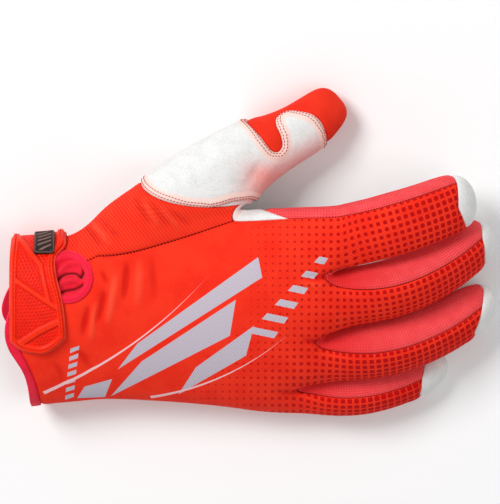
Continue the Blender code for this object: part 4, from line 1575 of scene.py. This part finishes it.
def hand_cloth(skin, plan):
    """Lays the cloth out on the hand's far side, where it turns down to the floor."""
    first, last = SIDE_COLUMNS[0] * FINE_ROWS, SIDE_COLUMNS[1] * FINE_ROWS
    run = np.diff(skin.first_table(HAND_PART)[:, first : last + 1], axis=1)
    down = run[..., 2] * VIEW_SIN - run[..., 1] * VIEW_COS
    laid = np.sqrt(run[..., 1] ** 2 + run[..., 2] ** 2)
    extra = np.cumsum(np.nan_to_num(laid - down), axis=1)
    extra = np.concatenate([np.zeros((len(extra), 1)), extra], axis=1)
    beside = (skin.grid[:, 0] > SIDE_COLUMNS[0]) & (skin.grid[:, 0] < SIDE_COLUMNS[1] + 1)
    chosen = np.flatnonzero((skin.part == HAND_PART) & beside)
    k = np.clip(skin.grid[chosen, 0] * FINE_ROWS - first, 0, last - first - 1e-6)
    s = np.clip(skin.grid[chosen, 1] * FINE_ROWS, 0, len(extra) - 1 - 1e-6)
    column, row = np.floor(k).astype(int), np.floor(s).astype(int)
    k, s = k - column, s - row
    low = extra[row, column] * (1 - k) + extra[row, column + 1] * k
    high = extra[row + 1, column] * (1 - k) + extra[row + 1, column + 1] * k
    fade = 1 - smooth_step(skin.grid[chosen, 1], len(HAND_STEPS) - 3, len(HAND_STEPS) - 1)
    plan[chosen, 1] -= (low * (1 - s) + high * s) * fade


def cloth_of(skin):
    """The cloth's coordinates in mm at each point.

    They are those of the photograph's view on the hand, and laid out along and round each finger.
    """
    plan = plan_of(skin.points)
    hand_cloth(skin, plan)
    for finger in range(len(FINGERS)):
        finger_cloth(skin, finger, plan)
    return plan / MM


def fold_heights(places, facing):
    """Height of the soft folds in mm at places in pixels, where the cloth faces the camera."""
    folds = np.zeros(len(places))
    for line, width, rise in FOLDS:
        fine = rounded(line, 8, closed=False)
        middle = (len(fine) - 1) / 2
        near = np.full(len(places), np.inf)
        fade = np.zeros(len(places))
        for n, spot in enumerate(fine):
            away = np.linalg.norm(places - spot, axis=1) * PIXEL / MM
            closer = away < near
            near = np.where(closer, away, near)
            fade = np.where(closer, math.cos(math.pi / 2 * abs(n - middle) / (middle + 1)), fade)
        folds += FOLD_RISE * rise * fade * facing * hump(near, 0, width)
    return folds


def shaped(skin):
    """Seams that sink, cloth that puffs beside them, and soft folds."""
    normals = skin.normals()
    seam = nearest_distance(skin.points, skin.points[skin.seams()]) / MM
    height = PUFF_RISE * hump(seam, PUFF_AWAY, PUFF_REACH) - SEAM_SINK * hump(seam, 0, SEAM_REACH)
    facing = smooth_step(towards_camera(normals), 0.05, 0.35)
    folds = fold_heights(pixels_of(skin.points), facing)
    # The folds' heights are kept as the mask for painted shade in their hollows and a painted highlight
    # on their ridges
    skin.relief = np.stack([0.5 + np.clip(folds, -1, 1) / 2, np.zeros(len(folds))], axis=1)
    skin.points += normals * ((height + folds) * MM)[:, None]
    skin.points[:, 2] = np.maximum(skin.points[:, 2], 0.0)


def on_panels(skin, panels):
    """Which points lie on the panels."""
    marks = np.zeros(len(skin.points), bool)
    marks[np.unique(skin.faces[np.isin(skin.panel, panels)])] = True
    return marks


# The printed dots, in pixels across the photograph: where they start on the thumb's side, how much
# earlier on the little finger's side, and where they are largest
DOTS_START, DOTS_SLANT, DOTS_END = 232, 66, 450
# The dots' smallest size, their growth to the fingertips and the addition on the little finger's side
DOT_LEAST, DOT_GROWTH, DOT_ADDED = 0.13, 0.56, 0.17
# The edge of the red light on the thumb's suede: a pixel on it and its direction
CAST_SPOT, CAST_NORMAL = (245, 118), (0.47, 0.88)


def dot_tones(x, y):
    """Size and depth of the back's printed dots, from 0 to 1, at pixels."""
    start = DOTS_START - DOTS_SLANT * smooth_step(y, 310, 385)
    size = DOT_LEAST + DOT_GROWTH * np.clip((x - start) / (DOTS_END - start), 0, 1) ** 0.7
    size += DOT_ADDED * smooth_step(y, 300, 400) * smooth_step(x, 240, 380)
    size *= smooth_step(x, start - 6, start + 24)
    return size, 0.5 + 0.5 * smooth_step(x, start, 360)


def red_cast(x, y):
    """Share of red light on the thumb's suede at pixels: beside the back's cloth and by the red tip."""
    edge = CAST_NORMAL[0] * (x - CAST_SPOT[0]) + CAST_NORMAL[1] * (y - CAST_SPOT[1])
    cast = smooth_step(edge, 40, 66) * smooth_step(x, 222, 262) * 0.7
    near_tip = np.exp(-(((x - 256) / 16) ** 2 + ((y - 170) / 11) ** 2)) * 0.4
    return np.clip(cast + near_tip, 0, 1)


def tones(skin):
    """Two shares at each point. On the back they are the printed dots' size and depth.

    On suede they are the perforations' strength and the cast of red light. On the gussets the second
    is painted shade, deepest at the webs between the fingers.
    """
    x, y = pixels_of(skin.points).T
    size, depth = dot_tones(x, y)
    white = on_panels(skin, (PALM,))
    # Painted shade on the gussets of the middle, ring and little fingers, deepest at their webs
    web = 0.75 * (1 - smooth_step(skin.grid[:, 1], 0.4, 3.6))
    web = np.where((skin.part > 1) & (skin.part < THUMB_PART), web, 0.0)
    depth = np.where(on_panels(skin, GUSSETS), web, depth)
    depth = np.where(white, 0.0, depth)
    depth = np.where(skin.part == THUMB_PART, red_cast(x, y), depth)
    under = skin.normals()[:, 2] < 0
    size = np.where(white, under & (skin.part == HAND_PART), size)
    return np.stack([size, depth], axis=1)


def glove_skin():
    """The cut and shaped skin, its surface before the cuts, and its cloth coordinates and tones."""
    skin = Skin(smoothed(glove_cage(), LEVELS))
    skin.rest()
    fitted(skin)
    skin.remember()
    smooth = Surface(skin.points.copy(), skin.faces.copy())
    cut_binding(skin)
    cut_fingers(skin)
    cut_thumb(skin)
    cut_vent(skin)
    cloth = cloth_of(skin)
    shaped(skin)
    return skin, smooth, cloth, tones(skin)


# Panels

# Heights over the skin, and the overlay's stitched grooves from its edge, all in mm
LIFT_OVERLAY, LIFT_OVERLAY_EDGE, LIFT_BINDING = 0.75, 0.22, 0.7
OVERLAY_GROOVES = (1.35, 3.2)
# How far a panel's edge is drawn in, in mm, and the fewest points of a line that carries stitches
PANEL_PULL, SHORTEST_LOOP = 0.14, 12


def overlay_top(near):
    """Height of the overlay in mm, by the distance to its edge: a flat rim between two grooves."""
    ridge = hump(near, 2.3, 0.6) - 1.2 * hump(near, 4.2, 0.45)
    ridge -= sum(0.8 * hump(near, groove, 0.3) for groove in OVERLAY_GROOVES)
    rise = (LIFT_OVERLAY - LIFT_OVERLAY_EDGE) * smooth_step(near, 0.0, 0.7)
    return LIFT_OVERLAY_EDGE + rise + 0.2 * ridge


def panel_piece(skin, cloth, tone, panel, material, inner):
    """One sewn panel as a closed piece of cloth."""
    name = PANELS[panel]
    faces = skin.faces[skin.panel == panel]
    used, flat = np.unique(faces, return_inverse=True)
    faces = flat.reshape(faces.shape).astype(np.int32)
    points, normals = skin.points[used], skin.normal[used]
    top = np.zeros(len(points))
    bulge, steps, pull = 0.0, 1, PANEL_PULL * MM
    tone = tone[used]
    if panel in (OVERLAY, CUFF):
        edge = np.unique(border_edges(faces))
        near = nearest_distance(points, points[edge]) / MM
    if panel == OVERLAY:
        top = overlay_top(near) * MM
        tone = np.stack([1 - smooth_step(near, 3.9, 4.4), tone[:, 1]], axis=1)
        pull = 0.0
    if panel == CUFF:
        top = LIFT_BINDING * MM * np.sqrt(1 - (1 - np.clip(near / 1.5, 0, 1)) ** 2)
        bulge, steps = 0.35 * MM, 4
    every, made, source = layered(points, normals, faces, top, -FABRIC, bulge, pull, steps)
    uvs = {"cloth": cloth[used][source], "tone": tone[source], "relief": skin.relief[used][source]}
    piece = object_of(name, every, made, uvs)
    finish_piece(piece, material, name, name)
    if panel != CUFF:
        piece.data.materials.append(inner)
        sides = np.zeros(len(made), np.int32)
        sides[len(faces) : 2 * len(faces)] = 1
        piece.data.polygons.foreach_set("material_index", sides)
    surface = Surface(every[: len(points)], faces)
    loops = [[every[v] for v in loop] for loop in loops_of(border_edges(faces))]
    return piece, surface, [np.array(loop) for loop in loops if len(loop) > SHORTEST_LOOP]


# Strap, badge and vent


def cubic_weights(coarse, fine):
    """Weights that turn values at evenly spaced places into a smooth line of more places."""
    at = np.linspace(0, coarse - 1, fine)
    weights = np.zeros((fine, coarse))
    for row, place in enumerate(at):
        base = min(int(place), coarse - 2)
        t = place - base
        values = (
            -0.5 * t + t**2 - 0.5 * t**3,
            1 - 2.5 * t**2 + 1.5 * t**3,
            0.5 * t + 2 * t**2 - 1.5 * t**3,
            -0.5 * t**2 + 0.5 * t**3,
        )
        for offset, value in zip((-1, 0, 1, 2), values):
            weights[row, min(max(base + offset, 0), coarse - 1)] += value
    return weights


def blend(table, share):
    """The value at a share of the way along a table of (share, value) pairs."""
    return float(np.interp(share, [a for a, _ in table], [b for _, b in table]))


def wrist_sheet(surface, coarse, fine, place):
    """A smooth sheet round the wrist: points and normals on a fine grid.

    place(across, along) gives the distance from the hem and the angle for two shares.
    """
    points, normals = np.zeros((*coarse, 3)), np.zeros((*coarse, 3))
    for c in range(coarse[0]):
        for r in range(coarse[1]):
            x, angle = place(c / (coarse[0] - 1), r / (coarse[1] - 1))
            points[c, r], normals[c, r] = surface.around_wrist(x, angle)
    a, b = cubic_weights(coarse[0], fine[0]), cubic_weights(coarse[1], fine[1])
    smooth = np.einsum("ic,crx,jr->ijx", a, points, b)
    normal = unit(np.einsum("ic,crx,jr->ijx", a, normals, b))
    return smooth.reshape(-1, 3), normal.reshape(-1, 3)


def strap_place(first, last_of, inset):
    """Places on the strap, whose edge is drawn back where the vent shows beside it."""

    def place(across, along):
        angle = first + (last_of(across) - first) * along
        width = STRAP_WIDTH - 2 * inset - blend(STRAP_NOTCH, angle) * MM
        return STRAP_START + inset + width * across, angle

    return place


def line_distance(places, line):
    """Distance of places to a line of points."""
    best = np.full(len(places), np.inf)
    for p, q in zip(line[:-1], line[1:]):
        p, q = np.array(p, float), np.array(q, float)
        run = q - p
        t = np.clip(((places - p) @ run) / (run @ run), 0, 1)
        best = np.minimum(best, np.linalg.norm(places - p - t[:, None] * run, axis=1))
    return best


# How far the strap's edge is drawn back beside the vent, in mm, by the angle round the wrist
STRAP_NOTCH = (
    (20, 0.0), (27, 0.8), (34, 3.0), (42, 4.7), (50, 4.7), (58, 3.6), (66, 2.0), (76, 0.6), (86, 0.0),
)

# Ribs of the strap, in pixels of the photograph, with half widths in mm
STRAP_RIBS = (
    (((16, 241), (43, 267), (51, 300)), 0.75),
    (((15, 278), (58, 305)), 0.85),
    (((19, 341), (40, 328), (61, 318)), 1.05),
)
STRAP_PILL = ((25, 345), (44, 349))

# The strap's rim from its edge, the middle of the rim's groove and the field of dimples, in mm
STRAP_RIM, STRAP_GROOVE, STRAP_FIELD = (2.5, 3.2), 1.5, (3.2, 3.7)
DIMPLE_PITCH, DIMPLE_ROW = 1.7, 0.866

# Points across and along of the strap's coarse sheet, and of its pad and its backing
STRAP_COARSE, PAD_FINE, BACKING_FINE = (8, 34), (92, 230), (50, 150)
# Rows of the pad that its stitches leave free at each end
PAD_FREE = (6, 8)


def strap_relief(places, across, along, width, length):
    """Height of the strap's moulding in mm, its lighter edges and the painted shade of its hollows.

    across runs over the width and along round the wrist, in mm.
    """
    edge = np.minimum(np.minimum(across, width - across), np.minimum(along + 4, length - along))
    rim = smooth_step(edge, 0.0, 0.5) * (1 - smooth_step(edge, *STRAP_RIM))
    groove = hump(edge, STRAP_GROOVE, 0.32)
    height = 0.05 + 0.85 * rim - 0.35 * groove
    field = smooth_step(edge, *STRAP_FIELD)
    ribs, trench = np.zeros(len(places)), np.zeros(len(places))
    for line, half in STRAP_RIBS:
        away = line_distance(places, line) * PIXEL / MM
        ribs = np.maximum(ribs, 1 - smooth_step(away, half, half + 0.4))
        trench = np.maximum(trench, hump(away - half, 0.75, 0.3))
    pill = 1 - smooth_step(line_distance(places, STRAP_PILL) * PIXEL / MM, 0.9, 1.3)
    raised = np.maximum(ribs, pill) * smooth_step(edge, 2.4, 2.9)
    height = np.maximum(height, 0.85 * raised - 0.1)
    trench *= field * (1 - raised)
    row = np.rint(along / (DIMPLE_PITCH * DIMPLE_ROW))
    a = (across - (row % 2) * DIMPLE_PITCH / 2) / DIMPLE_PITCH
    local = np.hypot((a - np.rint(a)) * DIMPLE_PITCH, along - row * DIMPLE_PITCH * DIMPLE_ROW)
    dimples = (1 - smooth_step(local, 0.34, 0.6)) * field * (1 - raised) * (1 - trench)
    height -= 0.34 * dimples + 0.25 * trench
    light = np.clip(0.25 * rim + 0.3 * raised - 0.3 * groove, 0, 1)
    # Painted shade in the dimples, the trenches beside the ribs, the rim's groove and the dimpled field
    dark = np.clip(0.5 * dimples + 0.35 * trench + 0.3 * groove + 0.14 * field, 0, 1)
    return height, light, dark


def pad_stitches(top, normals, faces, width):
    """Two rows of stitches along the pad. width is the pad's width in metres at each row along it."""
    surface = Surface(top, oriented(top, faces, normals))
    grid = top.reshape(*PAD_FINE, 3)
    thread = Thread()
    for side in (0, 1):
        line = []
        for row in range(PAD_FREE[0], PAD_FINE[1] - PAD_FREE[1]):
            share = STRAP_GROOVE * MM / width[row]
            column = (share if side == 0 else 1 - share) * (PAD_FINE[0] - 1)
            base = int(column)
            near = grid[base : base + 2, row]
            line.append(near[0] + (column - base) * (near[1] - near[0]))
        thread.row(*line_on(surface, resampled(line, 0.6 * MM, False)), 1.9 * MM, 0.62, 0.2 * MM)
    return thread


def build_pad(surface, materials):
    """The strap's moulded pad with its stitches."""

    def last(across):
        return blend(STRAP_END, across) - PAD_END

    place = strap_place(PAD_FIRST_ANGLE, last, PAD_INSET)
    points, normals = wrist_sheet(surface, STRAP_COARSE, PAD_FINE, place)
    grid = points.reshape(*PAD_FINE, 3)
    along, across = np.zeros(PAD_FINE), np.zeros(PAD_FINE)
    along[:, 1:] = np.cumsum(np.linalg.norm(np.diff(grid, axis=1), axis=2), axis=1)
    across[1:] = np.cumsum(np.linalg.norm(np.diff(grid, axis=0), axis=2), axis=0)
    length = np.repeat(along[:, -1:], PAD_FINE[1], axis=1)
    width = np.repeat(across[-1:], PAD_FINE[0], axis=0)
    sizes = [value.ravel() / MM for value in (across, along, width, length)]
    height, light, dark = strap_relief(pixels_of(points), *sizes)
    low = PAD_UNDERSIDE - PAD_SINK
    faces = grid_faces(*PAD_FINE)
    top = low + PAD_BODY + height * MM
    solid = layered(points, normals, faces, top, low, steps=3, bulge=0.15 * MM)
    tone, cloth = np.stack([light, dark], axis=1), np.stack([sizes[1], sizes[0]], axis=1)
    laid_piece("strap_pad", materials["rubber"], solid, tone, cloth)
    thread = pad_stitches(solid[0][: len(points)], normals, faces, width[0])
    thread.piece("strap_thread", materials["orange_thread"], "strap_pad")


def build_backing(surface, materials):
    """The strap's cloth behind the pad."""
    place = strap_place(STRAP_FIRST_ANGLE, lambda across: blend(STRAP_END, across), 0.0)
    points, normals = wrist_sheet(surface, STRAP_COARSE, BACKING_FINE, place)
    top = STRAP_LIFT + STRAP_BACKING
    solid = layered(points, normals, grid_faces(*BACKING_FINE), top, STRAP_LIFT, 0.3 * MM, 0.0, 4)
    laid_piece("strap_backing", materials["backing"], solid)


def oriented(points, faces, normals):
    """The faces turned so that they agree with the normals."""
    face = face_normals(points, faces)
    wrong = (face * normals[faces[:, 0]]).sum(axis=1) < 0
    faces = faces.copy()
    faces[wrong] = faces[wrong][:, ::-1]
    return faces


# The badge's points across and along, and in mm its half width and length, corners and bars' pitch
BADGE_COARSE, BADGE_FINE = (5, 8), (60, 110)
BADGE_HALF_WIDTH, BADGE_HALF_LENGTH, BADGE_CORNER, BADGE_BAR_PITCH = 4.8, 9.0, 1.6, 3.2


def build_badge(surface, materials):
    """A small rubber badge with raised slanting bars."""

    def place(across, along):
        angle = BADGE_FIRST_ANGLE + (BADGE_LAST_ANGLE - BADGE_FIRST_ANGLE) * along
        return BADGE_START + BADGE_WIDTH * across, angle

    points, normals = wrist_sheet(surface, BADGE_COARSE, BADGE_FINE, place)
    across, along = (np.linspace(-1, 1, count) for count in BADGE_FINE)
    across, along = (share.ravel() for share in np.meshgrid(across, along, indexing="ij"))
    x, y = np.abs(across) * BADGE_HALF_WIDTH, np.abs(along) * BADGE_HALF_LENGTH
    past_x, past_y = x - BADGE_HALF_WIDTH + BADGE_CORNER, y - BADGE_HALF_LENGTH + BADGE_CORNER
    inner = BADGE_CORNER - np.hypot(np.maximum(past_x, 0), np.maximum(past_y, 0))
    edge = np.minimum(np.minimum(BADGE_HALF_WIDTH - x, BADGE_HALF_LENGTH - y), inner)
    rim = smooth_step(edge, 0.0, 0.35) * (1 - smooth_step(edge, 0.75, 1.1))
    slant = along * BADGE_HALF_LENGTH + across * BADGE_HALF_WIDTH * 0.6
    bars = smooth_step(np.cos(2 * math.pi * slant / BADGE_BAR_PITCH), 0.25, 0.7)
    bars = bars * smooth_step(edge, 1.3, 1.7) * (1 - smooth_step(np.abs(x), 2.9, 3.3))
    height = 0.55 + 0.35 * rim + 0.35 * bars - 0.6 * (1 - smooth_step(edge, -0.2, 0.2))
    low = PAD_UNDERSIDE + STRAP_PAD - BADGE_SINK
    outside = smooth_step(inner, -1.0, 0.0)
    top = low + BADGE_BODY + np.maximum(height * outside, 0.02) * MM
    solid = layered(points, normals, grid_faces(*BADGE_FINE), top, low)
    tone = np.stack([np.maximum(bars * 0.9, rim * 0.3), 0 * bars], axis=1)
    laid_piece("strap_badge", materials["badge"], solid, tone)


def ring_points(surface, radii):
    """Points and normals on rings round the vent's centre, ring by ring."""
    right, up = vent_centre()
    angles = [2 * math.pi * k / VENT_SIDES for k in range(VENT_SIDES)]
    found = [surface.seen(right + r * math.cos(a), up + r * math.sin(a)) for r in radii for a in angles]
    return np.array([f[0] for f in found]), np.array([f[1] for f in found])


# Rings of the vent's binding and of its liner, and the ring that carries the stitches
BINDING_RINGS, LINER_RINGS, STITCHED_RING = 15, 30, 5
# Where the binding's inner fold lies, on a scale from -1 at its outer edge to 1, and its puckers
BINDING_FOLD, PUCKERS = -0.25, 34
LINER_THICKNESS = 0.0008

# Folds of the vent's liner: pixels of the line, half width in mm and height in mm
LINER_FOLDS = (
    (((57, 273), (64, 266), (73, 261), (82, 263)), 1.2, 1.6),
    (((57, 280), (66, 272), (76, 271), (82, 276)), 0.55, -1.3),
    (((83, 262), (85, 268), (82, 275)), 0.75, -1.5),
    (((58, 286), (66, 280), (76, 279), (82, 282)), 1.6, 1.7),
    (((56, 294), (66, 290), (76, 288), (84, 284)), 0.6, -0.7),
    (((86, 256), (89, 266), (88, 278)), 0.9, 0.9),
)


def build_vent_binding(surface, materials):
    """The vent's folded binding with its row of stitches."""
    radii = np.linspace(VENT_OUTER + 0.0002, VENT_INNER - 0.0004, BINDING_RINGS)
    points, normals = ring_points(surface, radii)
    t = np.repeat(np.linspace(-1, 1, len(radii)), VENT_SIDES)
    angle = np.tile(np.arange(VENT_SIDES) * 2 * math.pi / VENT_SIDES, len(radii))
    pucker = 0.07 * np.cos(angle * PUCKERS) * hump(t, BINDING_FOLD, 0.3)
    fold = 0.30 * hump(t, BINDING_FOLD, 0.14) + 0.12 * hump(t, 0.35, 0.12)
    top = (0.10 + 1.25 * np.sqrt(np.maximum(1 - t**4, 0)) - fold + pucker) * MM
    faces = oriented(points, grid_faces(len(radii), VENT_SIDES, cyclic=True), normals)
    solid = layered(points, normals, faces, top, -FABRIC, 0.2 * MM, 0.0, 3)
    laid_piece("vent_binding", materials["binding"], solid)
    ring = slice(STITCHED_RING * VENT_SIDES, (STITCHED_RING + 1) * VENT_SIDES)
    thread = Thread()
    thread.row(solid[0][ring], normals[ring], 1.55 * MM, 0.6, 0.17 * MM, closed=True)
    thread.piece("vent_thread", materials["pink_thread"], "vent_binding")


def liner_height(places, radii):
    """Height of the liner in mm at its rings' points, and the painted shade of each point in a fold's
    hollow.
    """
    rise = smooth_step(1 - np.repeat(radii, VENT_SIDES) / VENT_INNER, 0.0, 0.35)
    height = -0.9 - 0.9 * rise
    dark = np.zeros(len(places))
    for line, width, lift in LINER_FOLDS:
        away = line_distance(places, rounded(line, 6, closed=False)) * PIXEL / MM
        shape = hump(away, 0, width)
        height += lift * shape
        # The hollows of the folds get painted shade
        dark = np.maximum(dark, shape if lift < 0 else 0)
    return height, dark


def build_liner(surface, materials):
    """The gathered liner inside the vent, closed in its middle by a fan of triangles."""
    radii = np.linspace(VENT_INNER + 0.0002, 0.0006, LINER_RINGS)
    points, normals = ring_points(surface, radii)
    height, dark = liner_height(pixels_of(points), radii)
    top = height * MM
    last = slice(-VENT_SIDES, None)
    points = np.concatenate([points, [points[last].mean(axis=0)]])
    normals = np.concatenate([normals, [unit(normals[last].mean(axis=0))]])
    top = np.concatenate([top, [top[last].mean()]])
    dark = np.concatenate([dark, [dark[-1]]])
    k = np.arange(VENT_SIDES)
    base = (len(radii) - 1) * VENT_SIDES
    middle = np.full(VENT_SIDES, len(points) - 1)
    fan = np.stack([base + k, base + (k + 1) % VENT_SIDES, middle, middle], axis=1)
    faces = np.concatenate([grid_faces(len(radii), VENT_SIDES, cyclic=True), fan])
    faces = oriented(points, faces, normals)
    solid = layered(points, normals, faces, top, top - LINER_THICKNESS)
    laid_piece("vent_liner", materials["liner"], solid, np.stack([dark, dark], axis=1))


def seam_stitches(thread, skin, surface, panel, others, pitch, radius):
    """Stitches along the seams of a panel with others."""
    for other in others:
        for chain in shared_line(skin.faces[skin.panel == panel], skin.faces[skin.panel == other]):
            if len(chain) > SHORTEST_LOOP:
                line = eased(resampled(skin.points[chain], 0.5 * MM, False), 14, False)
                line, up = line_on(surface, line)
                thread.row(line, up, pitch, 0.6, radius)


def border_thread(panel, insets, pitch, share, radius):
    """Stitches along a panel's borders, with a row at each inset. All sizes are in mm."""
    _, surface, loops = panel
    thread = Thread()
    for loop in loops:
        for inset in insets:
            line, up = inset_line(surface, loop, inset * MM)
            thread.row(line, up, pitch * MM, share, radius * MM, closed=True)
    return thread


def build_stitches(skin, panels, materials):
    """Rows of stitches on the panels."""
    thread = border_thread(panels["thumb_overlay"], OVERLAY_GROOVES, 1.5, 0.7, 0.2)
    thread.piece("overlay_thread", materials["red_thread"], "thumb_overlay")
    surface = Surface(skin.points, skin.faces[skin.panel >= 0])
    for name, others, pitch, radius in (
        ("thumb_seam_thread", (THUMB_BASE,), 1.6, 0.3),
        ("gusset_thread", GUSSETS, 1.35, 0.15),
    ):
        thread = Thread()
        seam_stitches(thread, skin, surface, BACK, others, pitch * MM, radius * MM)
        thread.piece(name, materials["dark_thread"], "back_panel")
    thread = border_thread(panels["cuff_binding"], (1.0,), 2.0, 0.6, 0.16)
    thread.piece("cuff_thread", materials["pink_thread"], "cuff_binding")


# Floor, surrounding light and lamps
FLOOR_REACH, FLOOR_DROP = 4.0, 0.0002
WORLD_STRENGTH = 0.44
LIGHT_COLUMNS = "name place power size".split()
LIGHTS = (("key", (-1.35, 1.45, 1.95), 52.0, 1.0), ("fill", (1.2, 0.2, 2.4), 11.0, 1.4))


def build_floor():
    """A plain pale floor."""
    signs = ((-1, -1), (1, -1), (1, 1), (-1, 1))
    corners = np.array([(x * FLOOR_REACH, y * FLOOR_REACH, -FLOOR_DROP) for x, y in signs])
    floor = object_of("floor", corners, [(0, 1, 2, 3)], smooth=False)
    shader = Shader("floor", (0.97, 0.97, 0.97), 0.9)
    shader.colour(shader.mix(shader.noise(3.0), (0.98, 0.98, 0.98), (0.96, 0.96, 0.96)))
    floor.data.materials.append(shader.material)


def build_lights():
    """Soft studio light: an even surround, a key light and a fill light."""
    world = bpy.data.worlds.new("studio")
    bpy.context.scene.world = world
    world.use_nodes = True
    background = world.node_tree.nodes["Background"]
    background.inputs[0].default_value = (1, 1, 1, 1)
    background.inputs[1].default_value = WORLD_STRENGTH
    for row in rows_of(LIGHT_COLUMNS, LIGHTS):
        light = bpy.data.lights.new(row["name"], "AREA")
        light.energy, light.size = row["power"], row["size"]
        lamp = bpy.data.objects.new(row["name"], light)
        lamp.location = row["place"]
        lamp.rotation_euler = (-Vector(row["place"])).to_track_quat("-Z", "Y").to_euler()
        bpy.context.scene.collection.objects.link(lamp)


def build_camera():
    """The photograph's camera."""
    camera = bpy.data.cameras.new("camera")
    camera.lens, camera.sensor_width = CAMERA_LENS, CAMERA_SENSOR
    camera.clip_start, camera.clip_end = 0.01, 20
    eye = bpy.data.objects.new("camera", camera)
    bpy.context.scene.collection.objects.link(eye)
    distance = CAMERA_LENS / CAMERA_SENSOR * IMAGE_HEIGHT * PIXEL
    height = PICTURE_UP * (IMAGE_HEIGHT_OFFSET + CAMERA_RISE)
    middle = Vector((IMAGE_X, 0, 0)) + height + TO_CAMERA * 0.02
    eye.location = middle + TO_CAMERA * distance
    eye.rotation_euler = (math.radians(-VIEW_TIP), 0, 0)
    bpy.context.scene.camera = eye
    bpy.context.scene.view_settings.view_transform = "Standard"


def glove_materials():
    return {
        "back": back_material(),
        "rib": rib_material("ribbed_stretch", 1.35),
        # The gusset mesh, with painted shade towards the webs
        "gusset": mesh_material("gusset_mesh", PINK, PINK_SHADE, PINK_WEB_SHADE),
        "palm": suede_material("palm_suede", spots=6.0),
        "suede": suede_material("thumb_suede"),
        "binding": tape_material("binding_tape", BINDING, linear(226, 26, 54)),
        # The strap's rubber: lighter on its raised edges, with painted shade in its hollows
        "rubber": rubber_material("strap_rubber", ORANGE, 0.45, linear(255, 74, 30), linear(192, 16, 6)),
        "badge": rubber_material("badge_rubber", BLACK, 0.4, linear(150, 110, 100), BLACK),
        "backing": tape_material("strap_cloth", linear(250, 84, 60), linear(232, 50, 28)),
        "liner": liner_material(),
        "tip": rib_material("tip_knit", 0.9),
        "inner": plain_material("inner_cloth", linear(224, 62, 52), 0.9, 0.00012, 1100),
        "red_thread": plain_material("red_thread", linear(196, 60, 50), 0.6),
        "dark_thread": plain_material("dark_thread", linear(140, 8, 8), 0.65),
        "pink_thread": plain_material("pink_thread", linear(232, 36, 66), 0.65),
        "orange_thread": plain_material("orange_thread", linear(214, 40, 16), 0.6),
    }


# The material of each panel. Those that aren't listed are mesh gussets.
PANEL_LOOKS = {
    "back_panel": "back",
    "palm_panel": "palm",
    "cuff_binding": "binding",
    "thumb_base_panel": "rib",
    "thumb_overlay": "suede",
    "thumb_tip": "tip",
}


def main():
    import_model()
    build_floor()
    build_lights()
    build_camera()
    skin, smooth, cloth, tone = glove_skin()
    skin.normal = skin.normals()
    materials = glove_materials()
    panels = {}
    for number, name in enumerate(PANELS):
        outer = materials[PANEL_LOOKS.get(name, "gusset")]
        panels[name] = panel_piece(skin, cloth, tone, number, outer, materials["inner"])
    build_pad(smooth, materials)
    build_backing(smooth, materials)
    build_badge(smooth, materials)
    build_vent_binding(smooth, materials)
    build_liner(smooth, materials)
    build_stitches(skin, panels, materials)


main()
